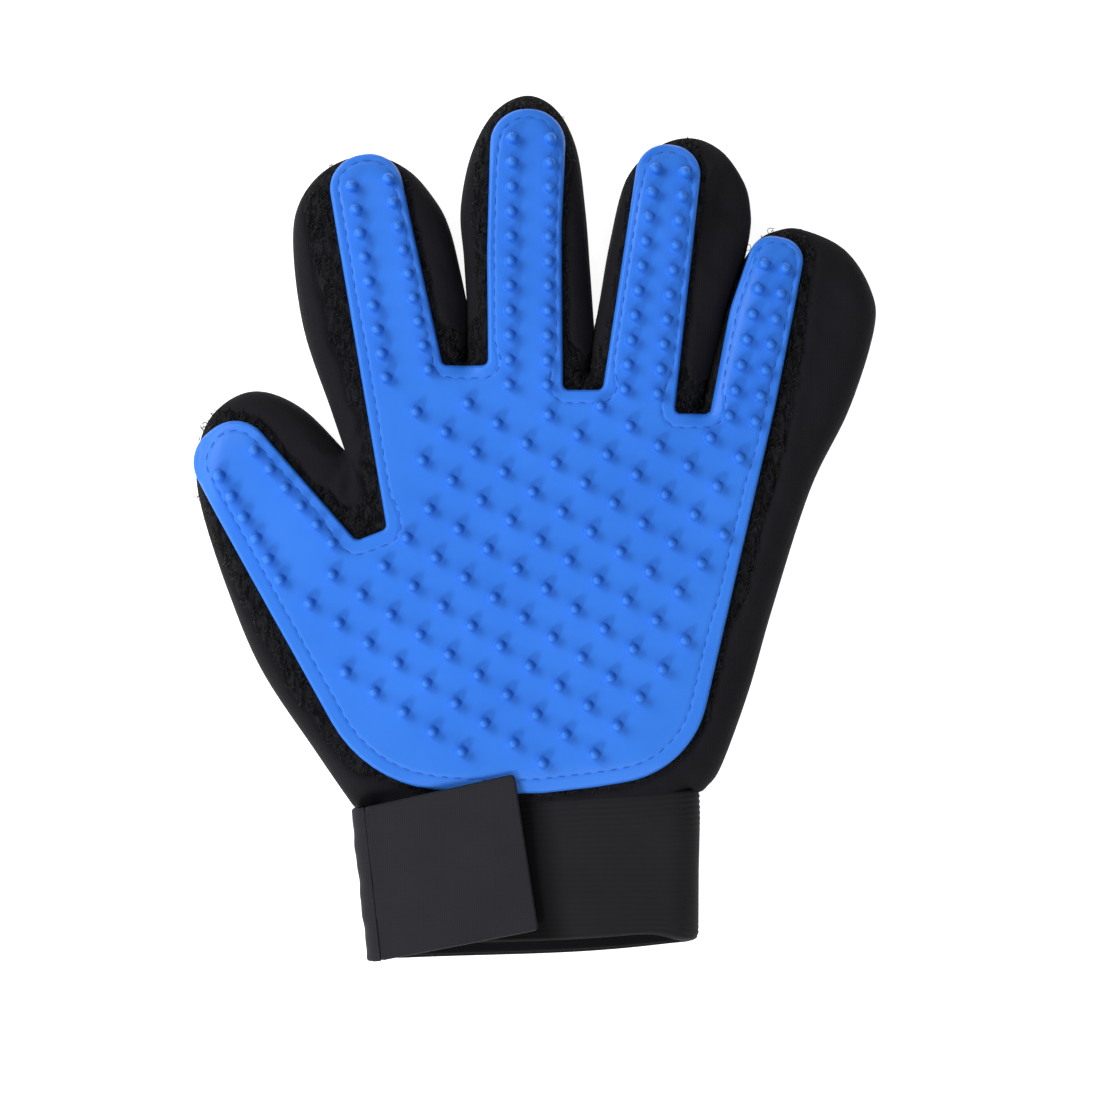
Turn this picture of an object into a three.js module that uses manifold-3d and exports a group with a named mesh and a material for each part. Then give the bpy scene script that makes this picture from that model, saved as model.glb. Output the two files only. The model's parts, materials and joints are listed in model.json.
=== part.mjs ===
// A pet grooming glove for the left hand, lying on its back with the palm up.
// Millimetres. +Y points to the fingertips, +X to the little finger's side and +Z out of the palm.
// The glove is a hollow fabric shell with a silicone nub pad on its front and an elastic wrist band
// that a tab closes. Each digit bends at its base and in its middle, so it has two segments.
import * as THREE from 'three';
import { mergeVertices } from 'three/addons/utils/BufferGeometryUtils.js';
import Module from 'manifold-3d';

const wasm = await Module();
wasm.setup();

// Driving dimensions
const THICKNESS = 17; // outside height of the fabric shell when it lies flat
const FABRIC_WALL = 1.3;
const GAP = 0.3; // clearance between pieces that touch
const PAD_THICKNESS = 1.6;
const MESH_MARGIN = 3.5; // how far the mesh panel reaches past the pad
const NUB = { height: 3.6, baseRadius: 1.9, tipRadius: 1.1, sides: 6, root: 0.4 };
const HEM = { thickness: 1.0, depth: 8 };
const PATCH_THICKNESS = 0.8;
const TAB_THICKNESS = 1.6;
const ROUND_STEPS = 3; // facets in each quarter of the shell's rounded edge
const SPLINE_STEPS = 2; // outline points made for each given point
const FAR = 130; // reaches past the glove on every side

const PAD_BOTTOM = THICKNESS + GAP;
const HOOK_BOTTOM = PAD_BOTTOM + PATCH_THICKNESS + GAP;
const TAB_BOTTOM = HOOK_BOTTOM + PATCH_THICKNESS + GAP;

// Rows of nubs run up each digit from base to tip: two nubs to a row, spread apart by twice
// `spread`. A digit's hinges are halfway between two rows and are given in rows from the base.
const DIGITS = {
  thumb: { base: [-61.6, -8.5], tip: [-80.1, 17.8], rows: 6, spread: [8.5, 5.8], hinges: [0.5, 3.5] },
  index: { base: [-34.5, 41.8], tip: [-44.5, 93.2], rows: 9, spread: [5.8, 5.0], hinges: [0.5, 4.5] },
  middle: { base: [-2.2, 38.8], tip: [-1.2, 105.0], rows: 11, spread: [5.1, 5.1], hinges: [1.5, 5.5] },
  ring: { base: [28.1, 37.0], tip: [36.0, 96.5], rows: 10, spread: [4.5, 4.0], hinges: [1.5, 5.5] },
  little: { base: [55.2, 29.7], tip: [64.0, 70.7], rows: 7, spread: [3.6, 2.9], hinges: [0.5, 3.5] },
};

// The palm's nubs stand on a slanted grid. Each line of it runs from `first` to `last` along STEP_J.
const GRID_ORIGIN = [-18.3, 33.8];
const STEP_I = [7.8, -5.35];
const STEP_J = [-6.05, -7.65];
const GRID_LINES = [
  { i: -1, first: 1, last: 1 },
  { i: 0, first: 0, last: 2 },
  { i: 0, first: 6, last: 7 },
  { i: 1, first: 0, last: 7 },
  { i: 2, first: -1, last: 8 },
  { i: 3, first: -2, last: 8 },
  { i: 4, first: -2, last: 8 },
  { i: 5, first: -2, last: 8 },
  { i: 6, first: -3, last: 8 },
  { i: 7, first: -3, last: 7 },
  { i: 8, first: -1, last: 7 },
  { i: 9, first: 2, last: 6 },
];

// The shell's outline as smooth curves that meet at corners: the wrist's thumb side, each digit from
// the gap before it to the gap after it, and the wrist's other side
const OUTLINE_CURVES = [
  [[-40.2, -FAR], [-41.2, -114], [-43.5, -92], [-45.4, -77.5]],
  [[-49.8, -74.6], [-60, -59.7], [-74.4, -38], [-83.6, -16.3], [-90.6, 5.4], [-92.1, 18], [-89, 29.5],
    [-81.5, 36.3], [-73, 37.4], [-62.6, 32.4], [-52.6, 22]],
  [[-51.2, 22], [-55.6, 33], [-63, 54.3], [-65.9, 76], [-64.3, 88.5], [-57, 97.8], [-45.5, 101.8],
    [-35, 97], [-27.4, 87.5], [-23.4, 76], [-20.6, 60], [-19.7, 46]],
  [[-18.1, 46], [-18.2, 60], [-19.8, 84], [-17.6, 102], [-11.3, 113.2], [-2.5, 117.6], [5.6, 113.8],
    [10.5, 103.5], [12.4, 84], [13.4, 64], [13.4, 43]],
  [[15.0, 43], [16.9, 57], [20, 78], [24.4, 95], [32.4, 103.6], [41.8, 106.4], [50.4, 102.8],
    [56.2, 92.3], [56.2, 79], [50.3, 58], [42.4, 33.5]],
  [[44.0, 33.5], [52.4, 58], [58.2, 73], [63.4, 79.6], [71.6, 81.7], [83.5, 76.3], [90.8, 65.1],
    [91.7, 54.3], [84.9, 32.6], [74.4, 10.9], [64, -21.7], [57.8, -43.4], [50.3, -64], [46.4, -68.9]],
  [[44.6, -71], [44.3, -92], [43.6, -112], [43.2, -FAR]],
];

// The pad's outline as corners [x, y, rounding radius, mesh margin where it isn't MESH_MARGIN]
const PAD_CORNERS = [
  [-46, -67.6, 36], [-5, -72.6, 150], [41.7, -65, 27], [64.2, 32.6, 60],
  [73, 77.4, 6.5], [59.6, 80.6, 6.5, 1], [52.4, 59.7, 30, 1], [46.9, 31.2, 1.6, 1],
  [37.2, 31.2, 1.6, 1.5],
  [45.1, 103, 8.3], [28.2, 105.1, 8.3, 5.5], [18, 37.6, 1.6, 4.5], [7.3, 37.6, 1.6, 1.5],
  [6.9, 80, 100], [8.4, 113.5, 9.6], [-12, 113.5, 9.6], [-13.1, 75, 100], [-12.8, 44.2, 1.6, 1.5],
  [-25, 44.2, 1.6, 1.5], [-38, 103.2, 9.2], [-56.8, 99.6, 9.2], [-40, 0.3, 1.6], [-48.2, -2.9, 1.6],
  [-79.4, 32.8, 10], [-95.4, 21.2, 10],
];
// The mesh panel also fills the web between thumb and palm
const THUMB_WEB = [[-36, -6], [-47.6, 23.3], [-64.1, 11.7], [-48, -6]];

// Lines up the middle of the gaps between digits, which part one digit's pieces from the next
const THUMB_GAP = [[-30, -15.2], [-51.9, 22], [-60, 38], [-84, 80]];
const INDEX_GAP = [[-18.9, 40], [-18.9, 62], [-24, FAR]];
const MIDDLE_GAP = [[14.2, 38], [15.6, 62], [18, FAR]];
const RING_GAP = [[43.2, 28], [43.2, 33.5], [56.8, 74.5], [64, FAR]];
const REGIONS = {
  thumb: [...THUMB_GAP, [-FAR, 80], [-FAR, -60], [-30, -60]],
  index: [...INDEX_GAP, ...THUMB_GAP.slice(1).reverse()],
  middle: [...MIDDLE_GAP, ...[...INDEX_GAP].reverse()],
  ring: [...RING_GAP, ...[...MIDDLE_GAP].reverse()],
  little: [[43.2, 0], [FAR, 0], [FAR, FAR], ...[...RING_GAP].reverse()],
};

// The wrist: the seam between palm and band, and the band's slanted mouth
const SEAM_POINT = new THREE.Vector3(0, -72, 0);
const SEAM_NORMAL = new THREE.Vector3(-0.07, 1, 0).normalize();
const MOUTH_POINTS = [[-45, -118.2, 0], [43.7, -112.6, 0], [0, -112.4, THICKNESS]];

// The closing tab folds up about the line between its two fold points
const FOLD_TOP = new THREE.Vector2(-43.6, -73.4);
const FOLD_BOTTOM = new THREE.Vector2(-39.0, -115.6);
const TAB_CORNERS = [[-39, -115.6, 0.1], [0.5, -108.5, 1.2], [-5.7, -66.5, 1.2], [-43.6, -73.4, 0.1]];
const ANCHOR = { width: 4.2, bend: 4, bottom: 7, topClearance: 3.2, bottomClearance: 0.5 };
const HOOK_CORNERS = [[-30, -112, 1], [-1.5, -106.6, 1], [-7, -70, 1], [-34.5, -74.8, 1]];
const LOOP_CORNERS = [[-36, -110.5, 2], [9, -107.5, 2], [9, -74.2, 2], [-36, -76.2, 2]];

const COLOURS = {
  silicone: { color: 0x3f86ee, roughness: 0.42, metalness: 0 },
  mesh: { color: 0x17181b, roughness: 0.95, metalness: 0 },
  knit: { color: 0x201f24, roughness: 0.85, metalness: 0 },
  elastic: { color: 0x252629, roughness: 0.8, metalness: 0 },
  tab: { color: 0x323136, roughness: 0.7, metalness: 0 },
  hookAndLoop: { color: 0x1a1a1c, roughness: 0.95, metalness: 0 },
};

// ---- closed geometry to solid, and back to a named mesh ----

function solid(geometry) {
  const bare = geometry.clone();
  bare.deleteAttribute('normal');
  bare.deleteAttribute('uv');
  const merged = mergeVertices(bare);
  return new wasm.Manifold(new wasm.Mesh({
    numProp: 3,
    vertProperties: new Float32Array(merged.attributes.position.array),
    triVerts: new Uint32Array(merged.index.array),
  }));
}

function namedMesh(name, body, look) {
  const { vertProperties, triVerts } = body.getMesh();
  const geometry = new THREE.BufferGeometry();
  geometry.setAttribute('position', new THREE.BufferAttribute(new Float32Array(vertProperties), 3));
  geometry.setIndex(new THREE.BufferAttribute(new Uint32Array(triVerts), 1));
  geometry.computeVertexNormals();
  const mesh = new THREE.Mesh(geometry, new THREE.MeshStandardMaterial(look));
  mesh.name = name;
  return mesh;
}

// ---- outlines ----

function isAnticlockwise(points) {
  return THREE.ShapeUtils.area(points) > 0;
}

// The corner's unit direction into the outline, stretched so that moving every corner by
// `distance` along it moves every side by `distance`
function inwardMitres(points) {
  const count = points.length;
  const inward = points.map((point, k) => {
    const side = points[(k + 1) % count].clone().sub(point).normalize();
    return new THREE.Vector2(-side.y, side.x);
  });
  return inward.map((after, k) => {
    const before = inward[(k + count - 1) % count];
    return before.clone().add(after).divideScalar(1 + before.dot(after));
  });
}

function inset(points, distance) {
  return inwardMitres(points).map((mitre, k) => mitre.multiplyScalar(distance).add(points[k]));
}

// Corners grown outwards by their own margins and an extra distance: an outer corner's rounding
// grows with it and an inner corner's shrinks
function grownCorners(corners, extra) {
  const points = corners.map(([x, y]) => new THREE.Vector2(x, y));
  const mitres = inwardMitres(points);
  return corners.map(([x, y, radius, margin = MESH_MARGIN], k) => {
    const before = points[(k + corners.length - 1) % corners.length];
    const after = points[(k + 1) % corners.length];
    const turn = points[k].clone().sub(before).cross(after.clone().sub(points[k]));
    const reach = margin + extra;
    return [
      x - reach * mitres[k].x,
      y - reach * mitres[k].y,
      Math.max(radius + Math.sign(turn) * reach, 0.5),
    ];
  });
}

function roundedPoints(corners) {
  const points = [];
  corners.forEach(([x, y, radius], k) => {
    const corner = new THREE.Vector2(x, y);
    const [px, py] = corners[(k + corners.length - 1) % corners.length];
    const [nx, ny] = corners[(k + 1) % corners.length];
    const back = new THREE.Vector2(px, py).sub(corner).normalize();
    const ahead = new THREE.Vector2(nx, ny).sub(corner).normalize();
    const half = Math.acos(THREE.MathUtils.clamp(back.dot(ahead), -1, 1)) / 2;
    const reach = radius / Math.tan(half);
    const turn = Math.PI - 2 * half;
    const steps = Math.max(1, Math.ceil(turn / (Math.PI / 7)));
    const centre = back.clone().add(ahead).normalize().multiplyScalar(radius / Math.sin(half)).add(corner);
    const start = back.clone().multiplyScalar(reach).add(corner).sub(centre);
    const sense = Math.sign(ahead.cross(back));
    for (let step = 0; step <= steps; step += 1) {
      const swing = sense * turn * (step / steps);
      points.push(start.clone().rotateAround(new THREE.Vector2(), swing).add(centre));
    }
  });
  return points;
}

function splinePoints(curve) {
  const spline = new THREE.SplineCurve(curve.map(([x, y]) => new THREE.Vector2(x, y)));
  return spline.getPoints(SPLINE_STEPS * (curve.length - 1));
}

const SHELL_OUTLINE = OUTLINE_CURVES.flatMap(splinePoints).reverse();

// ---- basic solids ----

function prism(points, bottom, top) {
  const outline = isAnticlockwise(points) ? points : [...points].reverse();
  const settings = { depth: top - bottom, bevelEnabled: false };
  const geometry = new THREE.ExtrudeGeometry(new THREE.Shape(outline), settings);
  return solid(geometry.translate(0, 0, bottom));
}

function halfSpace(point, normal) {
  const block = new THREE.BoxGeometry(4 * FAR, 4 * FAR, 4 * FAR).translate(0, 0, 2 * FAR);
  const turn = new THREE.Quaternion().setFromUnitVectors(new THREE.Vector3(0, 0, 1), normal);
  return solid(block.applyQuaternion(turn).translate(point.x, point.y, point.z));
}

// A flat-lying hollow's inside or outside: the outline with its edge rounded from bottom to top
function puffed(outline, margin) {
  const radius = THICKNESS / 2 - margin;
  const rings = [];
  for (let step = -ROUND_STEPS; step <= ROUND_STEPS; step += 1) {
    const angle = (step / ROUND_STEPS) * (Math.PI / 2);
    const z = THICKNESS / 2 + radius * Math.sin(angle);
    rings.push(inset(outline, margin + radius * (1 - Math.cos(angle))).map((p) => [p.x, p.y, z]));
  }
  const count = outline.length;
  const triangles = [];
  for (let ring = 0; ring < rings.length - 1; ring += 1) {
    for (let k = 0; k < count; k += 1) {
      const next = (k + 1) % count;
      const low = ring * count;
      const high = low + count;
      triangles.push(low + k, low + next, high + next, low + k, high + next, high + k);
    }
  }
  const capAt = (ring) => rings[ring].map(([x, y]) => new THREE.Vector2(x, y));
  const last = (rings.length - 1) * count;
  THREE.ShapeUtils.triangulateShape(capAt(0), []).forEach(([a, b, c]) => triangles.push(a, c, b));
  THREE.ShapeUtils.triangulateShape(capAt(rings.length - 1), [])
    .forEach(([a, b, c]) => triangles.push(last + a, last + b, last + c));
  const geometry = new THREE.BufferGeometry();
  geometry.setAttribute('position', new THREE.Float32BufferAttribute(rings.flat(2), 3));
  geometry.setIndex(triangles);
  return solid(geometry);
}

// ---- digits: their lines of nubs, hinge planes and cutting regions ----

function vector(point) {
  return new THREE.Vector3(point[0], point[1], 0);
}

function digitFrame(digit) {
  const base = vector(digit.base);
  const along = vector(digit.tip).sub(base);
  const pitch = along.length() / (digit.rows - 1);
  along.normalize();
  const across = new THREE.Vector3(along.y, -along.x, 0);
  const hingePoints = digit.hinges.map((row) => base.clone().addScaledVector(along, row * pitch));
  return { base, along, across, pitch, hingePoints };
}

function digitNubs(digit, firstRow, lastRow) {
  const { base, along, across, pitch } = digitFrame(digit);
  const places = [];
  for (let row = firstRow; row <= lastRow; row += 1) {
    const spread = THREE.MathUtils.lerp(...digit.spread, row / (digit.rows - 1));
    for (const side of [-spread, spread]) {
      places.push(base.clone().addScaledVector(along, row * pitch).addScaledVector(across, side));
    }
  }
  return places;
}

function gridNubs() {
  return GRID_LINES.flatMap(({ i, first, last }) => {
    const places = [];
    for (let j = first; j <= last; j += 1) {
      places.push(new THREE.Vector3(
        GRID_ORIGIN[0] + i * STEP_I[0] + j * STEP_J[0],
        GRID_ORIGIN[1] + i * STEP_I[1] + j * STEP_J[1],
        0,
      ));
    }
    return places;
  });
}

// A digit's region of the glove past a hinge, its cut faces moved by `clearance` along the digit
function pastHinge(name, hinge, clearance) {
  const { along, hingePoints } = digitFrame(DIGITS[name]);
  const region = REGIONS[name].map(([x, y]) => new THREE.Vector2(x, y));
  const outline = isAnticlockwise(region) ? region : region.reverse();
  const point = hingePoints[hinge].clone().addScaledVector(along, clearance);
  return prism(inset(outline, clearance), -FAR, FAR).intersect(halfSpace(point, along));
}

// ---- the glove cut into segments ----

const WHOLE = {
  shell: puffed(SHELL_OUTLINE, 0).subtract(puffed(SHELL_OUTLINE, FABRIC_WALL)),
  pad: prism(roundedPoints(PAD_CORNERS), PAD_BOTTOM, PAD_BOTTOM + PAD_THICKNESS),
};
const MESH_REGION = meshRegion(0);
const KNIT_CUT = meshRegion(GAP);

function meshRegion(clearance) {
  const web = THUMB_WEB.map(([x, y]) => new THREE.Vector2(x, y));
  const bottom = THICKNESS / 2 - clearance;
  return prism(roundedPoints(grownCorners(PAD_CORNERS, clearance)), bottom, FAR)
    .add(prism(inset(web, -clearance), bottom, FAR));
}

function withNubs(pad, places) {
  const height = NUB.height + NUB.root;
  const z = PAD_BOTTOM + PAD_THICKNESS - NUB.root + height / 2;
  return places.reduce((joined, place) => {
    const nub = new THREE.CylinderGeometry(NUB.tipRadius, NUB.baseRadius, height, NUB.sides);
    return joined.add(solid(nub.rotateX(Math.PI / 2).translate(place.x, place.y, z)));
  }, pad);
}

function segmentMeshes(prefix, cut, places) {
  const shell = cut(WHOLE.shell);
  return [
    namedMesh(`${prefix}_pad`, withNubs(cut(WHOLE.pad), places), COLOURS.silicone),
    namedMesh(`${prefix}_mesh_panel`, shell.intersect(MESH_REGION), COLOURS.mesh),
    namedMesh(`${prefix}_back_panel`, shell.subtract(KNIT_CUT), COLOURS.knit),
  ];
}

function digitMeshes(name) {
  const digit = DIGITS[name];
  const firstRow = Math.max(0, Math.ceil(digit.hinges[0]));
  const midRow = Math.ceil(digit.hinges[1]);
  const fromBase = pastHinge(name, 0, GAP / 2);
  const fromMiddle = pastHinge(name, 1, GAP / 2);
  const beyondMiddle = pastHinge(name, 1, -GAP / 2);
  const base = (whole) => whole.intersect(fromBase).subtract(beyondMiddle);
  const tip = (whole) => whole.intersect(fromMiddle);
  return [
    ...segmentMeshes(`${name}_base`, base, digitNubs(digit, firstRow, midRow - 1)),
    ...segmentMeshes(`${name}_tip`, tip, digitNubs(digit, midRow, digit.rows - 1)),
  ];
}

function palmMeshes() {
  const names = Object.keys(DIGITS);
  const aboveSeam = halfSpace(SEAM_POINT.clone().addScaledVector(SEAM_NORMAL, GAP / 2), SEAM_NORMAL);
  const withoutDigits = (whole) => names.reduce(
    (rest, name) => rest.subtract(pastHinge(name, 0, -GAP / 2)),
    whole,
  );
  const shell = withoutDigits(WHOLE.shell).intersect(aboveSeam);
  const rootRows = names.flatMap((name) => digitNubs(DIGITS[name], 0, Math.floor(DIGITS[name].hinges[0])));
  const pad = withNubs(withoutDigits(WHOLE.pad), [...gridNubs(), ...rootRows]);
  return [
    namedMesh('palm_pad', pad, COLOURS.silicone),
    namedMesh('palm_mesh_panel', shell.intersect(MESH_REGION), COLOURS.mesh),
    namedMesh('palm_back_panel', shell.subtract(KNIT_CUT), COLOURS.knit),
  ];
}

// ---- the wrist band and its closing tab ----

function bandMeshes() {
  const [a, b, c] = MOUTH_POINTS.map((point) => new THREE.Vector3(...point));
  const inwards = b.clone().sub(a).cross(c.clone().sub(a)).normalize().negate();
  const belowSeam = halfSpace(
    SEAM_POINT.clone().addScaledVector(SEAM_NORMAL, -GAP / 2),
    SEAM_NORMAL.clone().negate(),
  );
  const aboveMouth = halfSpace(a, inwards.y > 0 ? inwards : inwards.negate());
  const band = WHOLE.shell.intersect(belowSeam).intersect(aboveMouth);
  const hemEnd = a.clone().add(new THREE.Vector3(0, HEM.depth, 0));
  const pastHem = halfSpace(hemEnd, inwards.y > 0 ? inwards : inwards.negate());
  const hem = puffed(SHELL_OUTLINE, FABRIC_WALL + GAP)
    .subtract(puffed(SHELL_OUTLINE, FABRIC_WALL + GAP + HEM.thickness))
    .intersect(aboveMouth)
    .subtract(pastHem);
  const loop = prism(roundedPoints(LOOP_CORNERS), PAD_BOTTOM, PAD_BOTTOM + PATCH_THICKNESS);
  return [
    namedMesh('wrist_band', band, COLOURS.elastic),
    namedMesh('cuff_hem', hem, COLOURS.knit),
    namedMesh('loop_patch', loop, COLOURS.hookAndLoop),
    namedMesh('tab_anchor', tabAnchor(), COLOURS.tab),
  ];
}

// The strip that the tab folds from: it turns down over the band's edge and runs to the side seam
function tabAnchor() {
  const length = FOLD_TOP.distanceTo(FOLD_BOTTOM);
  const top = TAB_BOTTOM + TAB_THICKNESS;
  const inside = ANCHOR.bend - TAB_THICKNESS;
  const bendX = ANCHOR.bend - ANCHOR.width;
  const profile = new THREE.Shape();
  profile.moveTo(-ANCHOR.width, ANCHOR.bottom);
  profile.lineTo(TAB_THICKNESS - ANCHOR.width, ANCHOR.bottom);
  profile.absarc(bendX, top - ANCHOR.bend, inside, Math.PI, Math.PI / 2, true);
  profile.lineTo(0, TAB_BOTTOM);
  profile.lineTo(0, top);
  profile.absarc(bendX, top - ANCHOR.bend, ANCHOR.bend, Math.PI / 2, Math.PI, false);
  const upperEnd = length - ANCHOR.topClearance;
  const depth = upperEnd - ANCHOR.bottomClearance;
  const strip = new THREE.ExtrudeGeometry(profile, { depth, bevelEnabled: false, curveSegments: 5 });
  const lean = Math.atan2(FOLD_TOP.x - FOLD_BOTTOM.x, FOLD_TOP.y - FOLD_BOTTOM.y);
  strip.rotateX(Math.PI / 2).translate(-GAP, upperEnd, 0).rotateZ(-lean);
  return solid(strip.translate(FOLD_BOTTOM.x, FOLD_BOTTOM.y, 0));
}

function tabMeshes() {
  const tab = prism(roundedPoints(TAB_CORNERS), TAB_BOTTOM, TAB_BOTTOM + TAB_THICKNESS);
  const hook = prism(roundedPoints(HOOK_CORNERS), HOOK_BOTTOM, HOOK_BOTTOM + PATCH_THICKNESS);
  return [
    namedMesh('closure_tab', tab, COLOURS.tab),
    namedMesh('hook_patch', hook, COLOURS.hookAndLoop),
  ];
}

const glove = new THREE.Group();
glove.add(...palmMeshes(), ...Object.keys(DIGITS).flatMap(digitMeshes), ...bandMeshes(), ...tabMeshes());

export default glove;
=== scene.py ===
import json
import math
import random

import bpy
import numpy as np
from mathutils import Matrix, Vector


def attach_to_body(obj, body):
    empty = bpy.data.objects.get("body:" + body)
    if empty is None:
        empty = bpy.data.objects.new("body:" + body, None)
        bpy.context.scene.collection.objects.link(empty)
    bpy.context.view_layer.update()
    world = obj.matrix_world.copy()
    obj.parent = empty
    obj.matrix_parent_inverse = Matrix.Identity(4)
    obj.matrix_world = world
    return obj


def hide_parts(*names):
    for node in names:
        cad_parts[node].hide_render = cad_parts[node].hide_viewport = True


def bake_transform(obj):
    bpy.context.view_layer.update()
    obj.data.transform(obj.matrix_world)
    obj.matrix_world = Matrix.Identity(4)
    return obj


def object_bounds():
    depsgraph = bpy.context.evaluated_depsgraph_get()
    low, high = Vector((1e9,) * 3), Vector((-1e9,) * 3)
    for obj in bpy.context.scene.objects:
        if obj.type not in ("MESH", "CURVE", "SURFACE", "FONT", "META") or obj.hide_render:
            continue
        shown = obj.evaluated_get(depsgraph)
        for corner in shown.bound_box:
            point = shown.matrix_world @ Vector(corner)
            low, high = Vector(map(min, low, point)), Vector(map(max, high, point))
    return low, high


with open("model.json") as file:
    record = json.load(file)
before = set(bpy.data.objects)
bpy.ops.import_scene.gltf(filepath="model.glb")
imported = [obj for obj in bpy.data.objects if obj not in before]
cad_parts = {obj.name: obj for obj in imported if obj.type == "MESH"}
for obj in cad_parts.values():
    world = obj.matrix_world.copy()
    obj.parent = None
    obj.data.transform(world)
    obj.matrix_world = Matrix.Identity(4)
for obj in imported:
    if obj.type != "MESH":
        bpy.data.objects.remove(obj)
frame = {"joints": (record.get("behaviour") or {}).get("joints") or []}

CAD_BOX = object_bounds()
MM = 0.001
random.seed(4)


def unit(vector):
    return vector / np.linalg.norm(vector)


# ---- driving sizes (millimetres) ----

MIDDLE_HEIGHT = 8.5        # where the sides of the fabric shell are widest
TOP_RISE = 8.1             # from there up to the flat of the front
BACK_DROP = 8.4            # from there down to the surface that the glove lies on
SIDE_RADIUS = 8.0
SIDE_FULLNESS = 2.3        # 2 is a round side, more is squarer
TIP_LENGTH = 24.0          # stretch of each digit that thins towards its end
TIP_DROP = 4.4
TIP_LIFT = 1.6
CLOTH = 1.1                # thickness of the fabric
FABRIC_PITCH = 1.25        # spacing of the fabric's points
PAD_PITCH = 1.0
PAD_CLEARANCE = 0.15
PAD_THICKNESS = 1.9
PAD_OVERHANG = 1.8         # the pad doesn't droop as it nears the fabric's side closer than this
PAD_WALL = 0.55            # upright part of the pad's edge; the rest of it is rounded
PAD_ROUND = 0.9
STITCH_LENGTH = 2.3
STITCH_PITCH = 3.5
STITCH_RADIUS = 0.2
WRIST_TUCK = 5.0           # fabric that runs on inside the band

DIGITS = {
    "thumb": {"base": (-61.6, -8.5), "tip": (-80.1, 17.8), "rows": 6, "spread": (8.5, 5.8), "end": 51.0},
    "index": {"base": (-34.5, 41.8), "tip": (-44.5, 93.2), "rows": 9, "spread": (5.8, 5.0), "end": 61.0},
    "middle": {"base": (-2.2, 38.8), "tip": (-1.2, 105.0), "rows": 11, "spread": (5.1, 5.1), "end": 79.0},
    "ring": {"base": (28.1, 37.0), "tip": (36.0, 96.5), "rows": 10, "spread": (4.5, 4.0), "end": 70.0},
    "little": {"base": (55.2, 29.7), "tip": (64.0, 70.7), "rows": 7, "spread": (3.6, 2.9), "end": 54.0},
}

# The palm's nubs stand on a slanted grid: line i runs from the first to the last step along STEP_J
GRID_ORIGIN = (-18.3, 33.8)
STEP_I = (7.8, -5.35)
STEP_J = (-6.05, -7.65)
GRID_LINES = [(-1, 1, 1), (0, 0, 2), (0, 6, 7), (1, 0, 7), (2, -1, 8), (3, -2, 8), (4, -2, 8), (5, -2, 8),
              (6, -3, 8), (7, -3, 7), (8, -1, 7), (9, 2, 6)]

# The fabric's outline as smooth curves that meet at corners
OUTLINE_CURVES = [
    [(-41.5, -140), (-41.5, -82), (-43.2, -77.2), (-48.2, -76.2)],
    [(-49.8, -74.6), (-60, -59.7), (-74.4, -38), (-83.6, -16.3), (-90.6, 5.4), (-92.1, 18), (-89, 29.5),
     (-81.5, 36.3), (-73, 37.4), (-62.6, 32.4), (-51.9, 21.6)],
    [(-51.9, 21.6), (-55.8, 33), (-63, 54.3), (-65.9, 76), (-64.3, 88.5), (-57, 97.8), (-45.5, 101.8),
     (-34.7, 97.7), (-27, 89), (-23.3, 81.4), (-20.6, 70.6), (-18.8, 62)],
    [(-18.8, 62), (-19.6, 74), (-20.5, 87), (-17.6, 102), (-11.3, 113.4), (-2.5, 117.9), (5.6, 114.0),
     (11, 103.5), (13.4, 87), (14.7, 70.6), (15.8, 54.8)],
    [(15.8, 54.8), (17.2, 62), (20, 78), (24.4, 95), (32.4, 103.6), (41.8, 106.4), (50.4, 102.8),
     (56.6, 94), (58.3, 86), (58, 80), (56.7, 73.8)],
    [(56.7, 73.8), (60.2, 78.6), (64.6, 81), (71.6, 81.7), (83.5, 76.3), (90.8, 65.1), (91.7, 54.3),
     (84.9, 32.6), (74.4, 10.9), (64, -21.7), (57.8, -43.4), (50.3, -64), (46.6, -69.4)],
    [(45.6, -70.6), (42.6, -72.4), (41.6, -77), (41.6, -140)],
]
# Where two digits touch, from the end of the gap between them down to their crotch
CREASES = {
    "index": [(-18.8, 62), (-18.9, 46)],
    "middle": [(15.8, 54.8), (14.2, 43)],
    "ring": [(56.7, 73.8), (51.6, 59.7), (44.8, 33.5)],
}
# Lines that part one digit's region from the next, from the palm to past the tips
PARTINGS = {
    "thumb": [(-30, -15.2), (-51.9, 21.6), (-60, 38), (-84, 80)],
    "index": [(-18.9, 0), (-18.9, 46), (-18.8, 62), (-20.5, 74), (-23.3, 87), (-26, 140)],
    "middle": [(14.2, 0), (14.2, 43), (15.8, 54.8), (18.5, 140)],
    "ring": [(44.8, 0), (44.8, 33.5), (51.6, 59.7), (56.7, 73.8), (59.2, 79), (66, 140)],
}
# The pad's outline as corners: x, y and rounding radius
PAD_CORNERS = [
    (-46, -67.6, 36), (-5, -72.6, 150), (41.7, -65, 27), (64.2, 32.6, 60), (73, 77.4, 6.5),
    (59.6, 80.6, 6.5), (52.4, 59.7, 30), (46.9, 31.2, 1.6), (37.2, 31.2, 1.6), (45.1, 103, 8.3),
    (28.2, 105.1, 8.3), (18, 37.6, 1.6), (7.3, 37.6, 1.6), (6.9, 80, 100), (8.4, 113.5, 9.6),
    (-12, 113.5, 9.6), (-13.1, 75, 100), (-12.8, 44.2, 1.6), (-25, 44.2, 1.6), (-38, 103.2, 9.2),
    (-56.8, 99.6, 9.2), (-40, 0.3, 1.6), (-48.2, -2.9, 1.6), (-79.4, 32.8, 10), (-95.4, 21.2, 10),
]
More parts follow.
